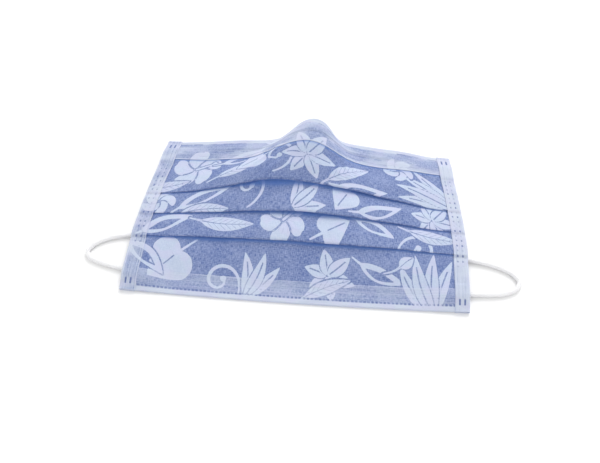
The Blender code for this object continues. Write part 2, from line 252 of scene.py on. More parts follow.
@dataclass
class MaskForm:
    """The rounded form of the mask and the layers that lie on it.

    Everything that lies on the form gives its places as across, up and height: along the cloth
    from its middle, from the chin edge, and above the inner face of the cloth.
    """

    half_width: float = 0.0875
    cloth: float = 0.00045
    strip: float = 0.00035
    gap: float = 0.00005
    nose_lean: float = 0.0015
    chin_bow: float = 0.0014
    binding_width: float = 0.0080
    top_hem_depth: float = 0.0145
    bottom_hem_depth: float = 0.0115
    overlap_side: float = 0.0080
    overlap_middle: float = 0.0060
    pitch_side: float = 0.00050
    pitch_middle: float = 0.00105
    pressed_power: float = 1.5
    ramp_end_from_hem: float = 0.0020
    crown_rise: float = 0.0080
    bump_rise: float = 0.0170
    bump_spread: float = 0.0165
    bump_offset: float = 0.0040
    left_spread: float = 1.10
    flank_reach: float = 1.36
    flank_rounding: float = 0.26
    corner_run_chin: float = 0.0090
    corner_run_nose: float = 0.0110
    flat_half: float = 0.060
    flat_depth: float = 0.0060
    flat_fade: float = 0.0160
    steepest: float = 0.93
    probe: float = 0.0002
    loop_clearance: float = 0.0003
    ripple: float = 0.00022
    calm_depth: float = 0.004
    wavy_depth: float = 0.022
    wavy_inset: float = 0.020
    sag_right: float = 0.0030
    sag_left: float = 0.0012
    sag_start: float = 0.052
    height: float = field(init=False)
    middle_up: float = field(init=False)
    side_rise: float = field(init=False)

    RUN_COLUMNS = 901
    RUN_ROWS = 401
    RUN_MARGIN = 0.002

    def __post_init__(self) -> None:
        """Work out the sizes that follow the frame, and the table of runs."""
        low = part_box("bottom_hem")[0].y
        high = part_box("top_hem")[1].y
        self.height = round(high - low - self.nose_lean - self.chin_bow, 5)
        self.middle_up = -low - self.chin_bow
        self.side_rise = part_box("ear_loop_left")[1].z + self.loop_clearance
        self._make_runs()

    @property
    def layer(self) -> float:
        """Thickness of a strip with its gap."""
        return self.strip + self.gap

    @property
    def hem_border(self) -> float:
        """Distance up to the nose hem's border on the print."""
        return self.height - self.top_hem_depth

    def column(self, name: str, along: Array) -> Array:
        """Read a column of the sections' table at shares along, never past its rows.

        Args:
            name: The column's name.
            along: Shares of the height.

        Returns:
            The values, joined smoothly from row to row.
        """
        places = np.array([row.along for row in SECTIONS])
        values = np.array([getattr(row, name) for row in SECTIONS])
        runs = np.diff(places)
        rises = np.diff(values) / runs
        slopes = np.zeros(len(values))
        product = rises[:-1] * rises[1:]
        total = np.where(product > 0, rises[:-1] + rises[1:], 1.0)
        slopes[1:-1] = np.where(product > 0, 2 * product / total, 0.0)
        slopes[-1] = rises[-1]
        held = np.clip(along, places[0], places[-1])
        index = np.clip(np.searchsorted(places, held, side="right") - 1, 0, len(runs) - 1)
        run = runs[index]
        t = (held - places[index]) / run
        return (
            values[index] * (1 + 2 * t) * (1 - t) ** 2
            + slopes[index] * run * t * (1 - t) ** 2
            + values[index + 1] * t * t * (3 - 2 * t)
            + slopes[index + 1] * run * t * t * (t - 1)
        )

    def inner_face(self, across: Array, up: Array) -> Array:
        """Height of the cloth's inner face above the surface that the mask rests on.

        Args:
            across: Places across the cloth.
            up: Places up the cloth.

        Returns:
            The heights.
        """
        along = up / self.height
        share = np.clip(np.abs(across) / self.half_width, 0.0, 1.0)
        falling = (1 - share ** 2) ** self.column("taper", along)
        rim = between(self.flat_half, self.half_width - self.binding_width, np.abs(across))
        opened = ease((up - self.flat_depth) / self.flat_fade)
        from_nose = ease((self.height - up) / self.corner_run_nose)
        from_ends = np.minimum(ease(up / self.corner_run_chin), from_nose)
        lift = self.layer + (self.side_rise - self.layer) * from_ends
        crown = self.crown_rise * self.column("crown", along)
        base = lift * (opened + (1 - opened) * rim) + (crown - lift * opened) * falling
        centre = self.bump_offset * self.column("shift", along)
        spread = self.bump_spread * self.column("spread", along)
        spread = spread * np.where(across < centre, self.left_spread, 1.0)
        bump = self.bump_rise * self.column("bump", along)
        raised = bump * ridge(across - centre, self.flank_reach * spread, self.flank_rounding)
        return self.layer + base + raised * (1 - share ** 4)

    def unevenness(self, across: Array, up: Array) -> Array:
        """Small waves and creases of a handled mask, fading at the edges it rests on.

        Args:
            across: Places across the cloth.
            up: Places up the cloth.

        Returns:
            How far they raise the cloth.
        """
        x = across * MILLIMETRES
        y = up * MILLIMETRES
        waves = sum(
            row.share * np.sin(row.across * x + row.up * y + row.start) for row in WAVES
        )
        from_side = self.half_width - np.abs(across)
        inside = between(self.calm_depth, self.wavy_depth, up)
        inside = inside * between(0.0, self.wavy_inset, from_side)
        creases = 0.0
        for row in GATHERS:
            aside = turned(x - row.across, y - row.up, -row.degrees)[0]
            far = np.hypot(x - row.across, y - row.up)
            wave = np.sin(aside * 2 * math.pi / row.pitch)
            creases = creases + row.depth * wave * bell(far, row.reach)
        return self.ripple * waves * inside + creases / MILLIMETRES

    def _make_runs(self) -> None:
        """Tabulate how far out a place across the cloth lies, seen from above."""
        edge = self.half_width + self.RUN_MARGIN
        across = np.linspace(-edge, edge, self.RUN_COLUMNS)
        up = np.linspace(-self.RUN_MARGIN, self.height + self.RUN_MARGIN, self.RUN_ROWS)
        surface = self.inner_face(across[None, :], up[:, None] + np.zeros_like(across))
        step = across[1] - across[0]
        climb = np.clip(np.diff(surface, axis=1), -self.steepest * step, self.steepest * step)
        run = np.sqrt(step ** 2 - climb ** 2)
        table = np.concatenate([np.zeros((len(up), 1)), np.cumsum(run, axis=1)], axis=1)
        self._runs = table - table[:, self.RUN_COLUMNS // 2][:, None]
        self._run_start = (across[0], up[0])
        self._run_step = (step, up[1] - up[0])

    def _plain_run(self, across: Array, up: Array) -> Array:
        """Read the table of runs between its rows and columns.

        Args:
            across: Places across the cloth.
            up: Places up the cloth.

        Returns:
            How far out they lie.
        """
        column = (across - self._run_start[0]) / self._run_step[0]
        row = (up - self._run_start[1]) / self._run_step[1]
        column = np.clip(column, 0, self.RUN_COLUMNS - 1.001)
        row = np.clip(row, 0, self.RUN_ROWS - 1.001)
        i = row.astype(int)
        j = column.astype(int)
        a = row - i
        b = column - j
        table = self._runs
        return (1 - a) * ((1 - b) * table[i, j] + b * table[i, j + 1]) + a * (
            (1 - b) * table[i + 1, j] + b * table[i + 1, j + 1]
        )

    def place(self, across: Array, up: Array, height: Array) -> Array:
        """Carry points of the cloth onto the form.

        Args:
            across: Distance along the cloth from its middle.
            up: Distance from the chin edge.
            height: Height above the cloth's inner face, square to it seen along Y.

        Returns:
            Points in the frame, with one more axis than the arguments.
        """
        across, up, height = np.broadcast_arrays(across, up, height)
        edge = np.where(across < 0, -1.0, 1.0) * self.half_width
        along = up / self.height
        gather = edge * self.column("half", along) / self._plain_run(edge, up)
        x = self._plain_run(across, up) * gather
        rise = self.inner_face(across + self.probe, up) - self.inner_face(across - self.probe, up)
        slope = np.clip(rise / (2 * self.probe), -self.steepest, self.steepest)
        share = across / self.half_width
        bow = self.chin_bow * (1 - share ** 2) * (1 - along) ** 2
        lean = self.nose_lean * bell(across - self.bump_offset, self.bump_spread) * along ** 4
        corner = between(self.sag_start, self.half_width, np.abs(across)) * along ** 1.5
        sag = np.where(across < 0, self.sag_left, self.sag_right) * corner
        z = self.inner_face(across, up) + np.sqrt(1 - slope ** 2) * height
        z = z + self.unevenness(across, up)
        return np.stack([x - slope * height, up - bow + lean - sag - self.middle_up, z], axis=-1)

    def pleat_lines(self, number: int, across: Array) -> tuple[Array, Array, Array]:
        """Follow a pleat across the cloth: pressed at the bindings, open in the middle.

        Args:
            number: The pleat's number from the chin.
            across: Places across the cloth.

        Returns:
            Where its fold and its inner tuck lie, and the spacing of its layers.
        """
        share = np.minimum(np.abs(across) / (self.half_width - self.binding_width), 1.0)
        opened = (1 - share ** 2) ** self.pressed_power
        edge = self.height * (PLEATS[number].edge + PLEATS[number].climb * opened)
        overlap = self.overlap_side + (self.overlap_middle - self.overlap_side) * opened
        pitch = self.pitch_side + (self.pitch_middle - self.pitch_side) * opened
        return edge, edge + overlap, pitch

    def middle_fold(self, number: int) -> float:
        """Where a pleat's fold lies in the middle of the mask."""
        return float(self.pleat_lines(number, np.zeros(1))[0][0])

    def puff(self, number: int, across: Array) -> Array:
        """How far a pleat's fold stands off the cloth below it, beyond its layers."""
        rows = [row for row in PUFFS if row.pleat == number]
        return sum(row.height * bell(across - row.across, row.spread) for row in rows)


class Kind(Enum):
    """The kinds of leaf and flower, each with the name of its method in Drawing."""

    LEAF = "leaf"
    EYED_LEAF = "eyed_leaf"
    HEART_LEAF = "heart_leaf"
    SPRAY = "spray"
    BLOSSOM = "blossom"
    PINWHEEL = "pinwheel"
    TENDRIL = "tendril"
    BUD = "bud"


class Motif(NamedTuple):
    """A motif of the print, in millimetres on the flat cloth, drawn over those before it."""

    kind: Kind
    across: float
    along: float
    degrees: float
    size: float
    breadth: float = 0.2
    bend: float = 0.0
    count: int = 4
    fan: float = 24.0


MOTIFS = (
    Motif(Kind.HEART_LEAF, -58, 24, 222, 23, 0.60, 0.05),
    Motif(Kind.EYED_LEAF, -88, 26, -38, 27, 0.17, -0.20),
    Motif(Kind.TENDRIL, -27, 3, 84, 13, 0.26, 1.0),
    Motif(Kind.SPRAY, -24, 1, 70, 25, 0.13, 0.22, 3, 25),
    Motif(Kind.SPRAY, 17, 15, 12, 15, 0.25, 0.06, 6, 60),
    Motif(Kind.EYED_LEAF, 33, 22, -22, 25, 0.15, 0.22),
    Motif(Kind.LEAF, 6, 3, 24, 25, 0.14, -0.18),
    Motif(Kind.SPRAY, 70, -3, 98, 34, 0.11, -0.20, 4, 17),
    Motif(Kind.BUD, 53, 21, 40, 9, 0.36),
    Motif(Kind.EYED_LEAF, -82, 49, 22, 27, 0.18, -0.20),
    Motif(Kind.LEAF, -52, 56, -4, 29, 0.14, 0.16),
    Motif(Kind.BLOSSOM, -8, 57, 40, 12.5),
    Motif(Kind.HEART_LEAF, 12, 51, 30, 17, 0.52, 0.0),
    Motif(Kind.EYED_LEAF, 30, 61, -24, 22, 0.17, -0.18),
    Motif(Kind.TENDRIL, 52, 47, 65, 12, 0.26, -1.0),
    Motif(Kind.LEAF, 58, 58, -8, 26, 0.15, 0.15),
    Motif(Kind.PINWHEEL, -78, 85, 30, 9.5),
    Motif(Kind.EYED_LEAF, -66, 80, 24, 30, 0.15, -0.18),
    Motif(Kind.LEAF, -64, 77, 4, 26, 0.13, -0.14),
    Motif(Kind.TENDRIL, -28, 79, 30, 13, 0.26, 1.0),
    Motif(Kind.SPRAY, -4, 79, 45, 19, 0.17, 0.16, 3, 38),
    Motif(Kind.HEART_LEAF, 27, 92, 236, 15, 0.56, 0.0),
    Motif(Kind.EYED_LEAF, 31, 80, 16, 25, 0.15, 0.18),
    Motif(Kind.SPRAY, 71, 83, 20, 13.5, 0.26, 0.06, 6, 60),
    Motif(Kind.BLOSSOM, -64, 124, 20, 14.0),
    Motif(Kind.LEAF, -48, 115, 16, 30, 0.14, -0.16),
    Motif(Kind.EYED_LEAF, -50, 128, 24, 26, 0.15, 0.16),
    Motif(Kind.LEAF, -86, 110, 12, 22, 0.15, 0.10),
    Motif(Kind.TENDRIL, -16, 112, 20, 15, 0.28, 1.0),
    Motif(Kind.HEART_LEAF, -24, 129, 214, 17, 0.56, 0.04),
    Motif(Kind.SPRAY, 2, 124, 22, 17, 0.24, 0.06, 6, 60),
    Motif(Kind.LEAF, 14, 111, 32, 30, 0.15, -0.16),
    Motif(Kind.EYED_LEAF, 20, 108, 6, 28, 0.15, 0.16),
    Motif(Kind.SPRAY, 84, 108, 152, 34, 0.10, 0.16, 4, 16),
    Motif(Kind.PINWHEEL, 57, 131, 10, 8.5),
    Motif(Kind.LEAF, -30, 145, -8, 26, 0.15, 0.12),
)
MOTIF_REACH = 1.35
MOTIF_MARGIN = 2.0
MOTIF_GAP = 0.8
FAR = 9.0
VEIN_SLANT = 1.4
VEIN_SPACING = 3.4
PETALS = 5
TENDRIL_STEPS = 150


class Print(NamedTuple):
    """What the print shows at places on the flat cloth, in millimetres.

    edge is the distance inside an outline, and rib and vein tell how far a line lies to the
    side. They pass through nothing on the line, so it stays sharp between the vertices.
    """

    edge: Array
    rib: Array
    vein: Array

    def under(self, upper: "Print", gap: float) -> "Print":
        """Lay another drawing over this one.

        Args:
            upper: The other drawing.
            gap: Width of the ground that shows round it.

        Returns:
            Both together.
        """
        over = upper.edge > -MOTIF_GAP / 2
        return Print(
            np.maximum(upper.edge, np.minimum(self.edge, -upper.edge - gap)),
            np.where(over, upper.rib, self.rib),
            np.where(over, upper.vein, self.vein),
        )


@dataclass(frozen=True)
class Drawing:
    """One motif at places on its own axes, with x along it, in millimetres."""

    motif: Motif
    x: Array
    y: Array

    @property
    def none(self) -> Array:
        """Lines that show nowhere."""
        return np.full_like(self.x, FAR)

    def bent(self) -> tuple[Array, Array]:
        """Share of the way along the bent midrib, and distance to its side."""
        share = self.x / self.motif.size
        return share, self.y - self.motif.bend * self.motif.size * (share ** 2 - share)

    def blade(self) -> tuple[Array, Array, Array]:
        """A long pointed blade.

        Returns:
            Its edge, the share of the way along it, and its half width.
        """
        size = self.motif.size
        share, aside = self.bent()
        held = np.clip(share, 0, 1)
        half = self.motif.breadth * size * np.sin(math.pi * held ** 0.8) ** 0.85
        past = np.abs(share - held) * size
        return np.where(past > 0, -np.hypot(past, aside), half - np.abs(aside)), held, half

    def stroke(
        self, aside: Array, start: tuple[float, float], wide: float,
        end: tuple[float, float], narrow: float,
    ) -> Array:
        """A rounded stroke that narrows from one place to another.

        Args:
            aside: Distance to the side of the line that the stroke follows.
            start: Where it starts, along and aside.
            wide: Half its width there.
            end: Where it ends.
            narrow: Half its width there.

        Returns:
            Distance inside it.
        """
        run = (end[0] - start[0], end[1] - start[1])
        square = run[0] ** 2 + run[1] ** 2
        share = ((self.x - start[0]) * run[0] + (aside - start[1]) * run[1]) / square
        share = np.clip(share, 0, 1)
        off = np.hypot(self.x - start[0] - run[0] * share, aside - start[1] - run[1] * share)
        return wide + (narrow - wide) * share ** 1.25 - off

    def stem(self, aside: Array, start: float, wide: float, back: float, narrow: float) -> Array:
        """A stem that starts inside a leaf and runs back from it by a share of its size."""
        return self.stroke(aside, (start, 0.0), wide, (-back * self.motif.size, 0.0), narrow)

    def leaf(self) -> Print:
        """A long leaf on a short stem, with slanting veins.

        Returns:
            Its print.
        """
        _, aside = self.bent()
        blade, held, _ = self.blade()
        stem = self.stem(aside, 2.0, 0.7, 0.22, 0.45)
        slant = (self.x - VEIN_SLANT * np.abs(aside)) / VEIN_SPACING
        vein = np.sin(math.pi * slant) * VEIN_SPACING / math.pi
        return Print(np.maximum(blade, stem), aside * (1 + 1.5 * held), vein)

    def eyed_leaf(self) -> Print:
        """A slender leaf whose middle is left open as a long eye.

        Returns:
            Its print.
        """
        _, aside = self.bent()
        blade, held, half = self.blade()
        opening = 0.5 * half * np.sin(math.pi * np.clip((held - 0.12) / 0.66, 0, 1)) ** 0.8
        eye = np.where(opening > 0.05, opening - np.abs(aside + 0.18 * half), -FAR)
        stem = self.stem(aside, 2.0, 0.75, 0.2, 0.4)
        return Print(np.maximum(np.minimum(blade, -eye), stem), self.none, self.none)

    def heart_leaf(self) -> Print:
        """A broad heart-shaped leaf with a bent tip.

        Returns:
            Its print.
        """
        size = self.motif.size
        aside = self.y - 0.9 * self.motif.bend * self.x * self.x / size
        lobe = 0.56 * self.motif.breadth * size
        blade = self.stroke(np.abs(aside), (lobe, 0.72 * lobe), lobe, (size, 0.0), 0.1)
        stem = self.stem(aside, 0.8 * lobe, 0.8, 0.35, 0.5)
        rib = np.where((self.x > 0.75 * lobe) & (self.x < 0.85 * size), aside, FAR)
        return Print(np.maximum(blade, stem), rib, self.none)

    def spray(self) -> Print:
        """Pointed blades that fan out from one place, as a plume or an open lily.

        Returns:
            Its print.
        """
        motif = self.motif
        shown = Print(-self.none, self.none, self.none)
        places = np.arange(motif.count) - (motif.count - 1) / 2
        for place in sorted(places, key=lambda value: -abs(value)):
            size = motif.size * (1 - 0.06 * abs(place))
            one = motif._replace(size=size, bend=motif.bend * (1 + 0.3 * place))
            blade = Drawing(one, *turned(self.x, self.y, motif.fan * place))
            share, aside = blade.bent()
            rib = np.where((share > 0.05) & (share < 0.80), aside, FAR)
            shown = shown.under(Print(blade.blade()[0], rib, self.none), 0.7 * MOTIF_GAP)
        return shown

    def petals(self, swirl: float) -> tuple[Array, Array, Array]:
        """Polar places on a flower.

        Args:
            swirl: Share of a turn that its petals lean by in each millimetre.

        Returns:
            The radius, the turn in petals, and the part of a petal from its axis.
        """
        radius = np.hypot(self.x, self.y)
        turn = (np.arctan2(self.y, self.x) / (2 * math.pi) + swirl * radius) * PETALS
        return radius, turn, turn - np.floor(turn) - 0.5

    def blossom(self) -> Print:
        """A broad open flower with rounded petals, a ribbed throat and a long pistil.

        Returns:
            Its print.
        """
        size = self.motif.size
        radius, turn, from_axis = self.petals(0.008)
        lobe = 0.52 + 0.48 * np.abs(np.cos(math.pi * from_axis)) ** 0.55
        notch = 0.05 * bell(from_axis, 0.07)
        border = np.abs(0.4 * radius * np.sin(math.pi * turn)) - 0.03 * radius
        border = np.where(radius > 0.14 * size, border, FAR)
        fan = radius * np.sin(2 * math.pi * from_axis * 1.5) * 0.8
        fan = np.where((radius < 0.62 * size) & (radius > 0.2 * size), fan, FAR)
        pistil = self.stroke(self.y, (0.0, 0.0), 0.9, (0.70 * size, 0.08 * size), 0.7)
        tip = 1.5 - np.hypot(self.x - 0.72 * size, self.y - 0.09 * size)
        middle = np.maximum(pistil, tip)
        rib = np.where(middle > -0.9, middle + 0.2, border)
        edge = (size * (lobe - notch) - radius) * 0.9
        return Print(edge, rib, np.where(middle > -1.2, FAR, fan))

    def pinwheel(self) -> Print:
        """A small flower with round petals that turn one over the next.

        Returns:
            Its print.
        """
        size = self.motif.size
        radius, turn, from_axis = self.petals(0.22 / size)
        lobe = np.cos(math.pi * from_axis * 0.9) ** 0.4
        rib = 0.4 * radius * np.sin(math.pi * turn)
        return Print((size * lobe - radius) * 0.85, rib, self.none)

    def tendril(self) -> Print:
        """A curling tendril whose line swells and ends in a drop.

        Returns:
            Its print.
        """
        motif = self.motif
        share = np.linspace(0, 1, TENDRIL_STEPS)
        turn = motif.bend * (share ** 1.3) * 2.35 * math.pi
        step = (motif.size * 4.2 * (1 - share) ** 0.55 + 9.0) / TENDRIL_STEPS
        px = np.cumsum(np.cos(turn) * step) - step[0]
        py = np.cumsum(np.sin(turn) * step)
        half = 0.45 + motif.breadth * 1.7 * np.sin(math.pi * share ** 0.8)
        half[-1] = 1.55
        edge = -self.none
        for i in range(TENDRIL_STEPS):
            edge = np.maximum(edge, half[i] - np.hypot(self.x - px[i], self.y - py[i]))
        return Print(edge, self.none, self.none)

    def bud(self) -> Print:
        """A closed bud on a bent stem.

        Returns:
            Its print.
        """
        blade, held, half = self.blade()
        stem = self.stem(self.y - 0.04 * self.x * (self.x + 1), 1.0, 0.6, 0.9, 0.4)
        return Print(np.maximum(blade, stem), self.y * 1.6 - 0.35 * half * held, self.none)


def print_at(across: Array, along: Array) -> Print:
    """Work out the print at places on the flat cloth, in millimetres.

    Args:
        across: Distance from the cloth's middle.
        along: Distance from the chin edge along the cloth.

    Returns:
        What the print shows there.
    """
    shown = Print(*(np.full(across.shape, value) for value in (-FAR, FAR, FAR)))
    for motif in MOTIFS:
        dx = across - motif.across
        dy = along - motif.along
        near = np.hypot(dx, dy) < MOTIF_REACH * motif.size + MOTIF_MARGIN
        drawing = Drawing(motif, *turned(dx[near], dy[near], motif.degrees))
        drawn = getattr(drawing, motif.kind.value)()
        beneath = Print(*(values[near] for values in shown))
        for values, new in zip(shown, beneath.under(drawn, MOTIF_GAP)):
            values[near] = new
    return shown


def stacked(rows: Sequence[Row], columns: int) -> tuple[Array, Array]:
    """Turn a section's rows into its places and heights, with lines down their columns."""
    places = np.array([np.broadcast_to(row.place, columns) for row in rows])
    return places, np.array([np.broadcast_to(row.height, columns) for row in rows])


def run_lengths(first: Array, second: Array) -> Array:
    """Distance of each point of lines, which run down the columns, along its line."""
    steps = np.hypot(np.diff(first, axis=0), np.diff(second, axis=0))
    return np.concatenate([np.zeros((1, steps.shape[1])), np.cumsum(steps, axis=0)])


def offset(first: Array, second: Array, distance: float) -> tuple[Array, Array]:
    """Move section lines square to themselves, to the left of their direction.

    Args:
        first: First coordinate of the lines' points, with a line down each column.
        second: Second coordinate of them.
        distance: How far the lines move.

    Returns:
        The moved coordinates.
    """
    steps = np.stack([np.diff(first, axis=0), np.diff(second, axis=0)])
    units = steps / np.maximum(np.hypot(*steps), TINY)
    heading = np.concatenate([units[:, :1], units[:, :-1] + units[:, 1:], units[:, -1:]], axis=1)
    heading = heading / np.maximum(np.hypot(*heading), TINY)
    return first - heading[1] * distance, second + heading[0] * distance


def make_active(piece: bpy.types.Object) -> None:
    """Select one object alone and make it the active one.

    Args:
        piece: The object.
    """
    bpy.ops.object.select_all(action="DESELECT")
    piece.select_set(True)
    bpy.context.view_layer.objects.active = piece


def laid_grid(name: str, points: Array) -> bpy.types.Object:
    """Add a grid and lay its vertices on an array of places.

    Args:
        name: The object's name.
        points: Places as rows by columns by three.

    Returns:
        The grid, whose vertices run along its rows.
    """
    rows, columns = points.shape[:2]
    bpy.ops.object.select_all(action="DESELECT")
    bpy.ops.mesh.primitive_grid_add(x_subdivisions=columns - 1, y_subdivisions=rows - 1, size=2)
    piece = bpy.context.active_object
    piece.name = name
    piece.data.name = name
    piece.data.vertices.foreach_set("co", points.reshape(-1).astype(np.float32))
    return piece


def close_borders(piece: bpy.types.Object, fill: Callable[[], set[str]]) -> None:
    """Close a mesh at its open borders and turn its faces outwards.

    Args:
        piece: The active object.
        fill: The operator that makes faces from the selected borders.
    """
    bpy.ops.object.mode_set(mode="EDIT")
    bpy.ops.mesh.select_mode(type="EDGE")
    bpy.ops.mesh.select_all(action="DESELECT")
    bpy.ops.mesh.select_non_manifold(
        extend=False, use_wire=False, use_boundary=True, use_multi_face=False,
        use_non_contiguous=False, use_verts=False,
    )
    fill()
    bpy.ops.mesh.select_all(action="SELECT")
    bpy.ops.mesh.normals_make_consistent(inside=False)
    bpy.ops.object.mode_set(mode="OBJECT")


def shell(name: str, outer: Array, inner: Array) -> bpy.types.Object:
    """Make a closed wall between two laid grids whose borders match.

    Args:
        name: The piece's name.
        outer: Places of the outer face, rows by columns by three.
        inner: Places of the inner face, with as many rows and columns or half as many.

    Returns:
        The piece, with the outer face's vertices first.
    """
    piece = laid_grid(name, outer)
    lining = laid_grid(name + "_lining", inner)
    make_active(piece)
    lining.select_set(True)
    bpy.ops.object.join()
    close_borders(piece, bpy.ops.mesh.bridge_edge_loops)
    return piece


@dataclass
class ClothFace:
    """Where the vertices of one face of a sheet lie, in millimetres.

    across and along are on the printed cloth, and wide and long on the sheet itself. lining is
    1 on a face that has no print, weld how far the welds press it, and crease how deep it lies
    in a fold's shade, all from 0 to 1.
    """

    across: Array
    along: Array
    wide: Array
    long: Array
    lining: float = 0.0
    weld: Array | float = 0.0
    painted_fold_shade: Array | float = 0.0


def mark_cloth(piece: bpy.types.Object, faces: Sequence[ClothFace]) -> None:
    """Give a sheet its own coordinates as a UV map, and the print on or under it.

    Args:
        piece: A mesh whose vertices run as the faces do.
        faces: Its faces, in the order in which their vertices were made.
    """
    marks: dict[str, list[Array]] = {name: [] for name in MARKS}
    places = []
    for face in faces:
        drawn = print_at(face.across, face.along)
        for name, values in zip(MARKS, (*drawn, face.lining, face.weld, face.painted_fold_shade)):
            marks[name].append(np.broadcast_to(values, face.across.shape).reshape(-1))
        places.append(np.stack([face.wide.reshape(-1), face.long.reshape(-1)], axis=-1))
    data = piece.data
    layer = data.uv_layers.active or data.uv_layers.new(name=CLOTH_MAP)
    layer.name = CLOTH_MAP
    corners = np.empty(len(data.loops), dtype=np.int32)
    data.loops.foreach_get("vertex_index", corners)
    uvs = np.concatenate(places)[corners]
    layer.data.foreach_set("uv", uvs.reshape(-1).astype(np.float32))
    for name, values in marks.items():
        attribute = data.attributes.new(name, "FLOAT", "POINT")
        attribute.data.foreach_set("value", np.concatenate(values).astype(np.float32))


@dataclass
class Sheet:
    """A closed sheet, worked out as lines down its section and laid on the form.

    Each kind of sheet has a name and its own way to lay its section.
    """

    form: MaskForm

    OUTWARD = -1
    COARSER = 2

    @property
    def held_by(self) -> list[str]:
        """The pieces that the sheet rests on."""
        return ["printed_panel"]

    @property
    def thickness(self) -> float:
        """The sheet's thickness."""
        return self.form.strip

    @property
    def order(self) -> int:
        """1, or -1 where the faces are laid from right to left."""
        return 1

    def laid(self, moved: Array, raised: Array) -> Array:
        """Carry the section's places and heights onto the form."""
        raise NotImplementedError

    def sewn(
        self, section: tuple[Array, Array], flat: tuple[float, float], places: Sequence[Array],
        pressed_depth: float = 0.0, weld: Array | float = 0.0, painted_fold_shade: Array | float = 0.0,
    ) -> bpy.types.Object:
        """Args:
            section: Places and heights of its middle line, rows by columns.
            flat: The size that it was cut to; not used.
            places: Where its vertices lie across and along the print and the sheet.
            pressed_depth: How deep a weld is.
            weld: How far welds press its outer face.
            painted_fold_shade: How deep its outer face lies in a fold's shade.

        Returns:
            The piece.
        """
        faces = []
        for side, step in ((self.OUTWARD, 1), (-self.OUTWARD, self.COARSER)):
            moved, raised = offset(*section, side * self.thickness / 2)
            if side == self.OUTWARD:
                raised = raised - pressed_depth * weld
            faces.append(self.laid(moved, raised)[::step, ::step][:, ::self.order])
        piece = shell(self.name, *faces)
        shape = section[0].shape
        front = [np.broadcast_to(values, shape)[:, ::self.order] * MILLIMETRES for values in places]
        back = [values[::self.COARSER, ::self.COARSER] for values in front]
        marks = [np.broadcast_to(values, shape)[:, ::self.order] for values in (weld, painted_fold_shade)]
        mark_cloth(piece, [
            ClothFace(*front, weld=marks[0], painted_fold_shade=marks[1]),
            ClothFace(*back, lining=1.0),
        ])
        return piece


